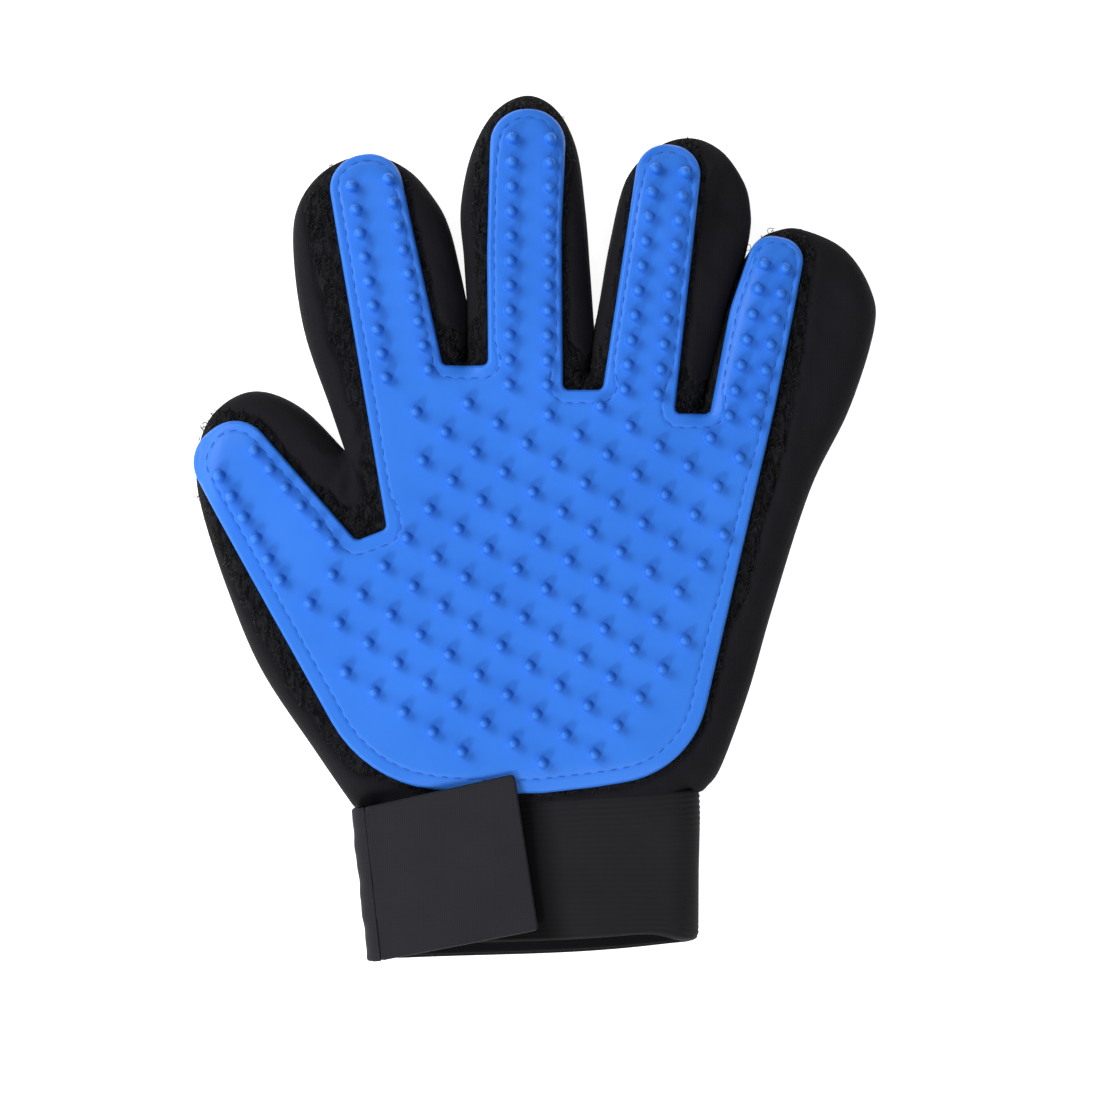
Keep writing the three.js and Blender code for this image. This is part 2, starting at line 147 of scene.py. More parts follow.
# How far the mesh panel shows past the pad's edge, at places round it: x, y and width
MESH_WIDTHS = [
    (-60, 90, 7.5), (-57, 72, 7.5), (-53, 56, 6.5), (-49, 40, 4.5), (-45, 26, 2.0), (-47, 101, 4),
    (-36, 97, 1.2), (-32, 80, 1.0), (-28, 60, 1.4), (-20, 47, 7), (-17, 66, 3.0), (-17, 85, 4.0),
    (-14, 104, 4.0), (-2, 115, 5), (8, 104, 2.0), (10, 80, 1.2), (11, 58, 1.5), (12.5, 40, 6.5),
    (20, 58, 1.2), (24, 80, 1.2), (29, 98, 3), (38, 105, 4), (47, 98, 1.5), (44, 76, 1.0), (41, 52, 1.2),
    (42, 33, 4.8), (50, 48, 1.0), (58, 76, 1.5), (67, 80, 3.0), (74, 70, 3.2), (70, 45, 4.5), (66, 20, 5.0),
    (62, -5, 4.0), (54, -42, 1.4), (30, -68, 0.9), (0, -73, 0.9), (-35, -70, 1.2), (-52, -60, 3.6),
    (-68, -34, 5.5), (-80, -8, 5.5), (-88, 12, 4.5), (-88, 27, 4.5), (-76, 30, 2.4), (-64, 14, 1.6),
    (-55, 5, 3.5), (-45, 3, 7), (-43, 14, 3.5),
]
# How far the stitching stands inside the pad's edge, in the same way
STITCH_INSETS = [
    (-46, 96, 2.2), (-54, 80, 2.4), (-32, 75, 1.8), (-46, 40, 2.6), (-26, 50, 2.2), (-19, 44, 3.6),
    (-12, 55, 1.8), (-11, 90, 1.8), (-2, 110, 2.6), (7, 90, 1.6), (7, 55, 1.8), (13, 37, 3.6),
    (20, 50, 1.8), (27, 80, 1.8), (36, 101, 2.4), (42, 80, 1.8), (38, 50, 1.8), (42, 31, 3.8),
    (49, 45, 1.8), (66, 78, 2.0), (70, 60, 1.8), (66, 30, 2.6), (60, 0, 3.4), (48, -45, 4.2),
    (20, -68, 4.0), (-20, -70, 3.8), (-50, -58, 3.8), (-66, -30, 3.8), (-80, -2, 3.8), (-90, 18, 3.8),
    (-80, 28, 2.8), (-62, 10, 2.8), (-44, 0, 4.0), (-42, 15, 2.4),
]

# The wrist band's sides from the palm seam to the mouth, and the tab's fold line
SEAM_Y = -72.0
SEAM_SLOPE = 0.07          # the seam's rise in Y for each millimetre of X
BAND_LEFT = [(-44.9, -75.6), (-44.0, -85), (-42.9, -100), (-41.6, -117.4)]
BAND_RIGHT = [(44.9, -70.2), (44.5, -80), (44.2, -92), (44.1, -112.4)]
MOUTH_SAG = 1.2            # the mouth's middle reaches past a straight line between its corners by this
MOUTH_CORNER = 2.8         # the little finger's side of the mouth is rounded off over this length
MOUTH_RISE = 5.4           # the front rim stands back from the far rim by this much
MOUTH_JOIN = 0.7           # share of that which it loses at the little finger's side
MOUTH_JOIN_WIDTH = 0.09    # over this share of the band's width
MOUTH_CORNER_SHARE = 0.8   # its rounding goes in by this share of its length
MOUTH_FROM = 0.35          # share of the band's length from which its end leans to the mouth's shape
FOLD_TOP = np.array([-43.6, -73.4])
FOLD_BOTTOM = np.array([-39.0, -115.6])
FOLD_DOWN = unit(FOLD_BOTTOM - FOLD_TOP)
FOLD_OUT = np.array((FOLD_DOWN[1], -FOLD_DOWN[0]))
CREASE_SHIFT = 2.6         # the tab's crease lies this far outside its hinge line
CREASE_TOP = FOLD_TOP + FOLD_OUT * CREASE_SHIFT + FOLD_DOWN * 0.7
CREASE_BOTTOM = FOLD_BOTTOM + FOLD_OUT * CREASE_SHIFT - FOLD_DOWN * 0.4
TAB_CORNERS = [(*CREASE_TOP, 0.2), (-5.7, -65.4, 1.1), (0.7, -107.3, 1.1), (*CREASE_BOTTOM, 0.2)]


# ---- plan geometry ----

def spline(points, steps=8):
    """A smooth curve through the points."""
    last = len(points) - 1
    made = []
    for k in range(last):
        p0, p1, p2, p3 = (np.array(points[min(max(k + d, 0), last)], float) for d in (-1, 0, 1, 2))
        v0, v1 = (p2 - p0) / 2, (p3 - p1) / 2
        for t in np.arange(steps) / steps:
            made.append((2 * p1 - 2 * p2 + v0 + v1) * t ** 3
                        + (-3 * p1 + 3 * p2 - 2 * v0 - v1) * t ** 2 + v0 * t + p1)
    made.append(np.array(points[last], float))
    return made


def rounded(corners):
    """A closed outline from corners with rounding radii."""
    made = []
    for k, (x, y, radius) in enumerate(corners):
        corner = np.array((x, y))
        back = unit(np.array(corners[k - 1][:2]) - corner)
        ahead = unit(np.array(corners[(k + 1) % len(corners)][:2]) - corner)
        half = math.acos(max(-1, min(1, back @ ahead))) / 2
        centre = corner + unit(back + ahead) * radius / math.sin(half)
        start = corner + back * radius / math.tan(half) - centre
        turn = math.pi - 2 * half
        if ahead[0] * back[1] - ahead[1] * back[0] < 0:
            turn = -turn
        steps = max(3, math.ceil(abs(turn) / (math.pi / 24)))
        for s in range(steps + 1):
            a = turn * s / steps
            made.append(centre + (start[0] * math.cos(a) - start[1] * math.sin(a),
                                  start[0] * math.sin(a) + start[1] * math.cos(a)))
    return np.array(made)


def segments_of(path, closed):
    """The start and end points of the path's straight segments."""
    path = np.asarray(path, float)
    return (path, np.roll(path, -1, 0)) if closed else (path[:-1], path[1:])


def path_distance(points, path, closed=True):
    """The distance from each point to the path."""
    a, b = segments_of(path, closed)
    d = b - a
    squared = np.maximum((d * d).sum(1), 1e-12)
    found = np.empty(len(points))
    for k in range(0, len(points), 3000):
        p = points[k:k + 3000, None] - a
        t = np.clip((p * d).sum(2) / squared, 0, 1)
        off = p - t[..., None] * d
        found[k:k + 3000] = np.sqrt((off * off).sum(2).min(1))
    return found


def is_inside(points, path):
    """Whether each point is inside the closed path."""
    a, b = segments_of(path, True)
    found = np.empty(len(points), bool)
    for k in range(0, len(points), 6000):
        p = points[k:k + 6000, None]
        spans = (a[:, 1] > p[..., 1]) != (b[:, 1] > p[..., 1])
        rise = np.where(b[:, 1] == a[:, 1], 1e-12, b[:, 1] - a[:, 1])
        cross = a[:, 0] + (p[..., 1] - a[:, 1]) * (b[:, 0] - a[:, 0]) / rise
        found[k:k + 6000] = ((spans & (p[..., 0] < cross)).sum(1) % 2) == 1
    return found


def depth_inside(points, path):
    """Distance to the outline, positive inside it."""
    return np.where(is_inside(points, path), 1, -1) * path_distance(points, path)


def smoothstep(x):
    """0 below 0, 1 above 1, and smooth between."""
    t = np.clip(x, 0, 1)
    return t * t * (3 - 2 * t)


def quarter_round(x):
    """0 below 0, 1 above 1, and a quarter of a circle between."""
    return np.sqrt(np.maximum(1 - (1 - np.clip(x, 0, 1)) ** 2, 0))


def bell(x, width):
    """1 at 0, fading to nothing over about twice the width."""
    return np.exp(-(x / width) ** 2)


OUTLINE = np.array([p for curve in OUTLINE_CURVES for p in spline(curve)])
PAD_OUTLINE = rounded(PAD_CORNERS)


def side_of(points, path):
    """Distance to a parting line, positive on its right as it runs up the glove."""
    a, b = segments_of(path, False)
    d = b - a
    t = np.clip(((points[:, None] - a) * d).sum(2) / (d * d).sum(1), 0, 1)
    off = points[:, None] - a - t[..., None] * d
    squared = (off * off).sum(2)
    nearest = squared.argmin(1)
    run, p = d[nearest], points - a[nearest]
    found = np.sqrt(squared.min(1))
    return np.where(run[:, 0] * p[:, 1] - run[:, 1] * p[:, 0] < 0, found, -found)


# ---- digits: lines of nubs and joints, which come from the frame ----

JOINTS = {j["name"]: j for j in frame["joints"]}


def digit_axes(name):
    """The digit's base point, unit direction, unit direction across it, and the spacing of its rows."""
    digit = DIGITS[name]
    base, tip = np.array(digit["base"]), np.array(digit["tip"])
    length = np.linalg.norm(tip - base)
    along = (tip - base) / length
    return base, along, np.array((along[1], -along[0])), length / (digit["rows"] - 1)


def hinge_at(name, which):
    """How far along the digit's line its joint stands."""
    base, along, _, _ = digit_axes(name)
    x, y, _ = JOINTS[f"{name}_{which}_bend"]["pos_m"]
    return (np.array((x, y)) / MM - base) @ along


def along_of(points, name):
    base, along, _, _ = digit_axes(name)
    return (points - base) @ along


# The thumb's skin starts to bend on a slanted line, from its crotch to its outer side
THUMB_ROOT = np.array((-51.9, 22.4))
THUMB_RUN = np.array((-81.5, -23.0)) - THUMB_ROOT
THUMB_NORMAL = unit(np.array((THUMB_RUN[1], -THUMB_RUN[0])))
THUMB_BASE_LENGTH = 13.0   # from that line to where the thumb's end segment starts
BASE_LEAD = 0.6            # a finger's skin starts to bend this far before its base hinge
TIP_LEAD = 3.0             # and this far before its middle hinge


def base_field(points, name):
    """How far each point is past the line where the digit's first segment starts."""
    if name == "thumb":
        return (points - THUMB_ROOT) @ THUMB_NORMAL
    return along_of(points, name) - hinge_at(name, "base") + BASE_LEAD


def tip_field(points, name):
    """How far each point is past the line where the digit's end segment starts."""
    if name == "thumb":
        return base_field(points, name) - THUMB_BASE_LENGTH
    return along_of(points, name) - hinge_at(name, "tip") + TIP_LEAD


# The parting lines on each digit's left and right
NEIGHBOURS = {"thumb": (None, "thumb"), "index": ("thumb", "index"), "middle": ("index", "middle"),
              "ring": ("middle", "ring"), "little": ("ring", None)}
THUMB_LOWEST = -40         # the thumb's region ends above this Y
SEGMENTS = ["palm"] + [f"{d}_{part}" for d in DIGITS for part in ("base", "tip")]


def segment_of(points):
    """The number in SEGMENTS of the segment that holds each point."""
    sides = {name: side_of(points, path) for name, path in PARTINGS.items()}
    found = np.zeros(len(points), int)
    for k, name in enumerate(DIGITS):
        left, right = NEIGHBOURS[name]
        here = base_field(points, name) > 0
        if left:
            here &= sides[left] > 0
        if right:
            here &= sides[right] < 0
        if name == "thumb":
            here &= points[:, 1] > THUMB_LOWEST
        found[here] = 1 + 2 * k
        found[here & (tip_field(points, name) > 0)] = 2 + 2 * k
    return found


# ---- flat triangle sheets that are cut along lines ----

def grid_sheet(low, high, pitch):
    """A flat sheet of near-equal triangles over a rectangle."""
    columns = int((high[0] - low[0]) / pitch) + 2
    rows = int((high[1] - low[1]) / pitch) + 2
    x, y = np.meshgrid(low[0] + pitch * np.arange(columns), low[1] + pitch * np.arange(rows))
    x = x + (np.arange(rows) % 2)[:, None] * pitch / 2
    points = np.stack([x.ravel(), y.ravel()], 1)
    a = (np.arange(rows - 1)[:, None] * columns + np.arange(columns - 1)).ravel()
    b, c, d = a + 1, a + columns, a + columns + 1
    even = np.concatenate([np.stack([a, b, c], 1), np.stack([b, d, c], 1)])
    odd = np.concatenate([np.stack([a, d, c], 1), np.stack([a, b, d], 1)])
    in_odd_row = np.tile(np.repeat(np.arange(rows - 1) % 2 == 1, columns - 1), 2)
    return points, np.where(in_odd_row[:, None], odd, even)


SNAP = 0.02                # a point this near a cut counts as on it


def cut(table, faces, values):
    """Cuts the faces along values == 0. table holds a row for each point, and new rows are added."""
    values = np.where(np.abs(values) < SNAP, 0.0, values)
    crossed = (values[faces] > 0).any(1) & (values[faces] < 0).any(1)
    mixed = faces[crossed]
    if len(mixed) == 0:
        return table, faces

    def corners_from(part, first):
        """The three corners of each face, starting at the one numbered first."""
        return np.take_along_axis(part, (first[:, None] + np.arange(3)) % 3, 1).T

    # a face with a corner on the line is cut across the edge bc that faces it
    on = values[mixed] == 0
    touch = on.any(1)
    a, b, c = corners_from(mixed[touch], on[touch].argmax(1))
    # any other is cut across the two edges of the corner d that is alone on its side
    up = values[mixed[~touch]] > 0
    d, e, f = corners_from(mixed[~touch], np.where(up.sum(1) == 1, up.argmax(1), up.argmin(1)))
    pairs = np.sort(np.concatenate([np.stack([b, c], 1), np.stack([d, e], 1), np.stack([d, f], 1)]), 1)
    keys, back = np.unique(pairs, axis=0, return_inverse=True)
    low, high = keys.T
    t = (values[low] / (values[low] - values[high]))[:, None]
    new_rows = table[low] * (1 - t) + table[high] * t
    bc, de, df = np.split(len(table) + back.ravel(), [len(a), len(a) + len(d)])
    corners = ((a, b, bc), (a, bc, c), (d, de, df), (de, e, f), (de, f, df))
    return (np.concatenate([table, new_rows]),
            np.concatenate([faces[~crossed], *(np.stack(face, 1) for face in corners)]))


def cut_rows(table, faces, rows):
    """Cuts along each of the given values of each column."""
    for column, values in rows.items():
        for value in values:
            table, faces = cut(table, faces, table[:, column] - value)
    return table, faces


def between_spots(points, spots):
    """A smooth value at each point from spots of x, y and value: the nearest counts most."""
    spots = np.array(spots)
    gap = ((points[:, None] - spots[:, :2]) ** 2).sum(2) + 4.0
    weight = gap ** -2.5
    return (weight * spots[:, 2]).sum(1) / weight.sum(1)


def seam_field(points):
    """How far each point is above the palm's seam with the band."""
    return points[:, 1] - (SEAM_Y + SEAM_SLOPE * points[:, 0])


# Columns of the table of points, after x and y
DEPTH, PAD, MESH, STITCH = range(2, 6)


def fields(points):
    """One row for each point: x, y, then its depth inside the outlines of the fabric, the pad, the mesh panel
    and the line of stitching."""
    depth = depth_inside(points, OUTLINE)
    for crease in CREASES.values():
        near = path_distance(points, crease, closed=False)
        depth = np.where(depth > 0, np.minimum(depth, near), depth)
    pad = depth_inside(points, PAD_OUTLINE)
    mesh = pad + between_spots(points, MESH_WIDTHS)
    stitch = pad - between_spots(points, STITCH_INSETS)
    return np.stack([points[:, 0], points[:, 1], depth, pad, mesh, stitch], 1)


def cut_segments(table, faces):
    """Cuts along every line that parts one segment from the next."""
    for path in PARTINGS.values():
        table, faces = cut(table, faces, side_of(table[:, :2], path))
    for name in DIGITS:
        for field in (base_field, tip_field):
            table, faces = cut(table, faces, field(table[:, :2], name))
    return table, faces


# ---- heights ----

DIGIT_REACH = 17.0         # a digit's thinning reaches this far to either side of its line
WRIST_REACH = 9.0          # the fabric thins towards the band over this length
WRIST_DROP = 0.9
WRIST_SHIFT = 0.4
RIPPLE = 0.22
# Folds that spread from the crotches: centre, reach, number and phase
CROTCH_FOLDS = [((-50, 19), 16, 9, 0.3), ((-18.9, 45), 11, 8, 1.1), ((14.2, 42), 10, 8, 2.0),
                ((43.2, 33), 10, 8, 0.8)]
FOLD_HEIGHT = 0.35
SIDE_FOLD_HEIGHT = 0.16
SEAM_VALLEY = (0.5, 0.7)   # depth and width of the valley where mesh and knit meet
SEAM_RIDGE = (0.18, 1.3)   # and of the ridge beside it
SEAM_RIDGE_AT = 2.2
STITCH_GROOVE = (0.2, 0.5)
PAD_HOLD = 1.5             # folds die out over this length before the pad's edge
BACK_LIFT = 0.3            # height of the back's unevenness
BACK_REST = 0.75           # share of it that the glove's weight presses out
BACK_REACH = 16.0          # from this far inside the outline


def side_profile(depth, radius=SIDE_RADIUS, fullness=SIDE_FULLNESS):
    """0 at the outline, 1 where the front or back is flat."""
    t = 1 - np.clip(depth / radius, 0, 1)
    return (1 - t ** fullness) ** (1 / fullness)


def tip_share(points):
    """0 over most of the glove, rising to 1 at the end of each digit."""
    found = np.zeros(len(points))
    for name, digit in DIGITS.items():
        base, along, across, _ = digit_axes(name)
        a = (points - base) @ along
        s = np.abs((points - base) @ across)
        reach = np.clip((a - digit["end"] + TIP_LENGTH) / TIP_LENGTH, 0, 1) ** 2
        found = np.maximum(found, reach * (1 - smoothstep((s - DIGIT_REACH) / 8)))
    return found


def ripple(points):
    """The front's slow unevenness, from -1 to 1."""
    x, y = points.T
    waves = np.sin(x * 0.11 + y * 0.05 + 1.0) + np.sin(y * 0.13 - x * 0.06)
    return (waves + np.sin((x + y) * 0.21 + 2.0) * 0.6) / 2.6


def wrist_share(points):
    """1 at the seam with the band and below, fading up the palm."""
    return 1 - smoothstep(seam_field(points) / WRIST_REACH)


def front_height(points, depth):
    """The fabric's front without its seams, which the pad lies on."""
    wrist = wrist_share(points)
    rise = TOP_RISE - TIP_DROP * tip_share(points) - WRIST_DROP * wrist
    return MIDDLE_HEIGHT - WRIST_SHIFT * wrist + (rise + RIPPLE * ripple(points)) * side_profile(depth)


def wrinkles(points):
    """Small folds in the loose fabric at the crotches and along the sides."""
    x, y = points.T
    found = np.zeros(len(points))
    for (cx, cy), reach, count, phase in CROTCH_FOLDS:
        angle = np.arctan2(y - cy, x - cx)
        r = np.hypot(x - cx, y - cy)
        found += np.sin(angle * count + phase) * bell(r - reach * 0.45, reach * 0.4) * FOLD_HEIGHT
    wave = np.sin(x * 0.55 + 0.35 * y + 2 * np.sin(y * 0.09)) * np.sin(y * 0.21 + x * 0.05)
    return found + SIDE_FOLD_HEIGHT * wave


def fabric_front(table):
    points, depth, mesh = table[:, :2], table[:, DEPTH], table[:, MESH]
    loose = 1 - smoothstep(table[:, PAD] / PAD_HOLD + 1)
    fullness = wrinkles(points) - SEAM_VALLEY[0] * bell(mesh, SEAM_VALLEY[1])
    fullness += SEAM_RIDGE[0] * bell(mesh + SEAM_RIDGE_AT, SEAM_RIDGE[1])
    return front_height(points, depth) + fullness * side_profile(depth) * loose


def fabric_back(table):
    points, depth = table[:, :2], table[:, DEPTH]
    wrist = wrist_share(points)
    drop = BACK_DROP - TIP_LIFT * tip_share(points) - WRIST_DROP * wrist
    lift = BACK_LIFT * (ripple(points * 1.3) + 1) + BACK_LIFT * wrinkles(points)
    lift *= 1 - BACK_REST * smoothstep(depth / BACK_REACH)
    return MIDDLE_HEIGHT - WRIST_SHIFT * wrist + (lift - drop) * side_profile(depth)


def pad_base(table):
    depth = np.maximum(table[:, DEPTH], PAD_OVERHANG)
    return front_height(table[:, :2], depth) + PAD_CLEARANCE


def pad_top(table):
    edge = quarter_round(table[:, PAD] / PAD_ROUND)
    z = pad_base(table) + PAD_WALL + (PAD_THICKNESS - PAD_WALL) * edge
    return z - STITCH_GROOVE[0] * bell(table[:, STITCH], STITCH_GROOVE[1])


# ---- meshes ----

def add(name, data):
    """A new object in the scene."""
    obj = bpy.data.objects.new(name, data)
    bpy.context.scene.collection.objects.link(obj)
    return obj


def new_object(name, points, faces, material, normals=None):
    """A smooth-shaded mesh in the scene, from points in millimetres."""
    mesh = bpy.data.meshes.new(name)
    mesh.from_pydata((np.asarray(points) * MM).tolist(), [], [list(map(int, f)) for f in faces])
    mesh.polygons.foreach_set("use_smooth", [True] * len(mesh.polygons))
    if normals is not None:
        mesh.normals_split_custom_set_from_vertices(normals.tolist())
    mesh.materials.append(material)
    return add(name, mesh)


def point_normals(points, faces):
    """Unit normals at the points, each the sum of its faces' by area."""
    a, b, c = (points[faces[:, k]] for k in range(3))
    n = np.cross(b - a, c - a)
    total = np.zeros_like(points)
    for k in range(3):
        np.add.at(total, faces[:, k], n)
    size = np.linalg.norm(total, axis=1)
    return total / np.maximum(size, 1e-12)[:, None]


def compact(faces, *arrays):
    """The faces renumbered over only the points that they use, and those rows of each array."""
    used, back = np.unique(faces, return_inverse=True)
    return (back.reshape(faces.shape), *[a[used] for a in arrays])


def border_edges(faces):
    """Edges that only one face uses, in that face's direction."""
    edges = np.concatenate([faces[:, [0, 1]], faces[:, [1, 2]], faces[:, [2, 0]]])
    keys = np.sort(edges, 1)
    _, index, count = np.unique(keys, axis=0, return_index=True, return_counts=True)
    return edges[index[count == 1]]


def thickened(points, faces, normals, lower):
    """A closed body between the points and the lower ones, with walls along the borders."""
    count = len(points)
    edges = border_edges(faces)
    walls = np.concatenate([
        np.stack([edges[:, 1], edges[:, 0], edges[:, 0] + count], 1),
        np.stack([edges[:, 1], edges[:, 0] + count, edges[:, 1] + count], 1),
    ])
    body = np.concatenate([faces, faces[:, ::-1] + count, walls])
    lower_normals = -normals.copy()
    rim = np.unique(edges)
    lower_normals[rim] = normals[rim]
    return np.concatenate([points, lower]), body, np.concatenate([normals, lower_normals])


# ---- materials ----

def new_material(name, roughness, specular=0.5, sheen=0.0):
    """A node material with its even values set on its shader."""
    material = bpy.data.materials.new(name)
    material.use_nodes = True
    shader = material.node_tree.nodes["Principled BSDF"]
    shader.inputs["Roughness"].default_value = roughness
    shader.inputs["Specular IOR Level"].default_value = specular
    shader.inputs["Sheen Weight"].default_value = sheen
    return material, material.node_tree, shader


def colour_from(tree, shader, factor, dark, light):
    """The shader's colour runs from dark to light with the factor."""
    ramp = tree.nodes.new("ShaderNodeMix")
    ramp.data_type = "RGBA"
    ramp.inputs["A"].default_value = (*dark, 1)
    ramp.inputs["B"].default_value = (*light, 1)
    tree.links.new(factor, ramp.inputs["Factor"])
    tree.links.new(ramp.outputs["Result"], shader.inputs["Base Color"])


def texture(tree, kind, scale, stretch=None, **settings):
    """The output of a procedural texture over the object's own coordinates, in features per metre."""
    place = tree.nodes.new("ShaderNodeTexCoord").outputs["Object"]
    if stretch:
        mapping = tree.nodes.new("ShaderNodeMapping")
        mapping.inputs["Scale"].default_value = stretch
        tree.links.new(place, mapping.inputs["Vector"])
        place = mapping.outputs["Vector"]
    node = tree.nodes.new("ShaderNodeTex" + kind)
    node.inputs["Scale"].default_value = scale
    for key, value in settings.items():
        socket = key.replace("_", " ")
        if socket in node.inputs:
            node.inputs[socket].default_value = value
        else:
            setattr(node, key, value)
    tree.links.new(place, node.inputs["Vector"])
    return node.outputs["Distance" if kind == "Voronoi" else "Fac"]


def maths(tree, operation, a, b):
    """The output of a Math node over two numbers or outputs."""
    node = tree.nodes.new("ShaderNodeMath")
    node.operation = operation
    for k, value in enumerate((a, b)):
        if isinstance(value, (int, float)):
            node.inputs[k].default_value = value
        else:
            tree.links.new(value, node.inputs[k])
    return node.outputs[0]


def weighted(tree, *parts):
    """The sum of two outputs, each times its weight."""
    return maths(tree, "ADD", *(maths(tree, "MULTIPLY", part, weight) for part, weight in parts))


def faded(tree, value, start, end, interpolation="LINEAR"):
    """0 where the value is at start, 1 where it is at end."""
    node = tree.nodes.new("ShaderNodeMapRange")
    node.interpolation_type = interpolation
    node.inputs["From Min"].default_value = start
    node.inputs["From Max"].default_value = end
    tree.links.new(value, node.inputs["Value"])
    return node.outputs["Result"]


def bump(tree, shader, height, distance, strength=1.0):
    node = tree.nodes.new("ShaderNodeBump")
    node.inputs["Distance"].default_value = distance
    node.inputs["Strength"].default_value = strength
    tree.links.new(height, node.inputs["Height"])
    tree.links.new(node.outputs["Normal"], shader.inputs["Normal"])


def silicone_material():
    """Satin blue silicone rubber with a faint cloudiness and a fine moulded grain."""
    material, tree, shader = new_material("silicone_blue", 0.42, 0.24)
    cloud = texture(tree, "Noise", 38, Detail=3)
    colour_from(tree, shader, cloud, (0.026, 0.170, 0.70), (0.043, 0.226, 0.84))
    shader.inputs["Subsurface Weight"].default_value = 0.08
    shader.inputs["Subsurface Radius"].default_value = (0.15, 0.4, 1.0)
    shader.inputs["Subsurface Scale"].default_value = 0.0012
    grain = texture(tree, "Noise", 1500, Detail=2)
    bump(tree, shader, grain, 0.00003, 0.5)
    return material


def plain_material(name, roughness, specular, kind, scale, dark, light, depth=0.0, **settings):
    """A material whose colour follows one texture, as does its relief where it has a depth."""
    material, tree, shader = new_material(name, roughness, specular)
    tone = texture(tree, kind, scale, **settings)
    colour_from(tree, shader, tone, dark, light)
    if depth:
        bump(tree, shader, tone, depth)
    return material


def knit_material(name, dark, light, roughness, pitch, sheen=0.05):
    """Fine warp knit: rows of small wales with soft patches of tone."""
    material, tree, shader = new_material(name, roughness, 0.12, sheen)
    wales = texture(tree, "Wave", pitch, bands_direction="X", Distortion=0.4, Detail_Scale=4)
    courses = texture(tree, "Wave", pitch, bands_direction="Y", Distortion=0.4)
    weave = maths(tree, "MULTIPLY", wales, courses)
    patch = texture(tree, "Noise", 60, Detail=4)
    tone = weighted(tree, (weave, 0.45), (patch, 0.6))
    colour_from(tree, shader, tone, dark, light)
    bump(tree, shader, weave, 0.00012, 0.6)
    return material


def spacer_mesh_material():
    """Looped spacer mesh: brushed clumps of yarn that run up the glove, with dark gaps between them."""
    material, tree, shader = new_material("spacer_mesh_black", 0.95, 0.15)
    clumps = texture(tree, "Noise", 620, stretch=(1, 0.42, 1), Detail=4, Distortion=0.8)
    fuzz = texture(tree, "Noise", 2200, Detail=3)
    yarn = maths(tree, "MAXIMUM", maths(tree, "SUBTRACT", clumps, 0.38), 0.0)
    tone = maths(tree, "MULTIPLY", yarn, maths(tree, "ADD", fuzz, 0.35))
    tone = maths(tree, "MULTIPLY", tone, 3.6)
    colour_from(tree, shader, tone, (0.0015, 0.0016, 0.0020), (0.019, 0.0195, 0.0215))
    bump(tree, shader, tone, 0.0006)
    return material


def elastic_material():
    """Woven elastic: faint ribs and a fine twill. Its front is darkened beside the tab's free edge,
    a painted shadow of the tab."""
    material, tree, shader = new_material("elastic_black", 0.85, 0.16, 0.03)
    ribs = texture(tree, "Wave", 210, bands_direction="Y", Distortion=2.5, Detail_Scale=2)
    twill = texture(tree, "Wave", 700, bands_direction="DIAGONAL")
    patch = texture(tree, "Noise", 45, Detail=3)
    weave = weighted(tree, (ribs, 0.15), (twill, 0.3))
    tone = weighted(tree, (weave, 0.6), (patch, 0.6))
    place = tree.nodes.new("ShaderNodeSeparateXYZ")
    tree.links.new(tree.nodes.new("ShaderNodeTexCoord").outputs["Object"], place.inputs["Vector"])
    edge_top, edge_bottom = (np.array(TAB_CORNERS[k][:2]) * MM for k in (1, 2))
    run = unit(edge_bottom - edge_top)
    past_tab = weighted(tree, *(
        (maths(tree, "SUBTRACT", place.outputs[axis], float(from_edge)), float(share))
        for axis, from_edge, share in (("X", edge_top[0], -run[1]), ("Y", edge_top[1], run[0]))))
    # painted shadow of the tab: this share is 0.05 from under the tab to 2 mm past its free edge, and rises
    # to 1 by 10.5 mm out; the band's lower side keeps 1
    clear_of_painted_tab_shadow = faded(tree, past_tab, 0.002, 0.0105, "SMOOTHSTEP")
    shown = maths(tree, "MAXIMUM", clear_of_painted_tab_shadow, faded(tree, place.outputs["Z"], 0.010, 0.005))
    shown = maths(tree, "ADD", maths(tree, "MULTIPLY", shown, 0.95), 0.05)
    tone = maths(tree, "MULTIPLY", maths(tree, "ADD", tone, 0.35), shown)
    colour_from(tree, shader, tone, (0.0022, 0.0023, 0.0030), (0.0145, 0.0148, 0.0168))
    bump(tree, shader, weave, 0.00012, 0.5)
    return material


SILICONE = silicone_material()
# twisted polyester sewing thread in a darker blue
THREAD = plain_material("thread_blue", 0.6, 0.2, "Wave", 900, (0.020, 0.115, 0.50), (0.034, 0.165, 0.68),
                        0.00005, Distortion=1.5)
KNIT = knit_material("knit_black", (0.0055, 0.005, 0.0068), (0.0135, 0.0125, 0.0160), 0.85, 520, 0.02)
HEM_KNIT = knit_material("hem_knit_black", (0.004, 0.004, 0.005), (0.011, 0.011, 0.013), 0.9, 650, 0.02)
TAB_FABRIC = knit_material("tab_charcoal", (0.0155, 0.0148, 0.0185), (0.029, 0.0275, 0.034), 0.7, 620)
SPACER = spacer_mesh_material()
# loose loop yarn, black with a slight shine
YARN = plain_material("loop_yarn_black", 0.55, 0.4, "Noise", 300, (0.001, 0.001, 0.0012),
                      (0.013, 0.013, 0.0155), Detail=2)
ELASTIC = elastic_material()
# moulded nylon hooks
HOOK = plain_material("hook_tape_black", 0.5, 0.5, "Voronoi", 1100, (0.02, 0.02, 0.022),
                      (0.004, 0.004, 0.005), 0.0003)


# ---- fabric shell: mesh panel on the front, knit round the sides and back ----

OUTLINE_LOW, OUTLINE_HIGH = OUTLINE.min(0), OUTLINE.max(0)
RIM_MARGIN = 2.5           # rows of faces that are kept past an outline until it is cut
EDGE_ROWS = (0.12, 0.45, 1.0, 1.9, 3.2, 5.0)      # depths where the rounded side gets a row of points
SEAM_ROWS = (-3.2, -2.2, -1.3, -0.7, 0.0, 0.7)    # the same across the seam of mesh and knit


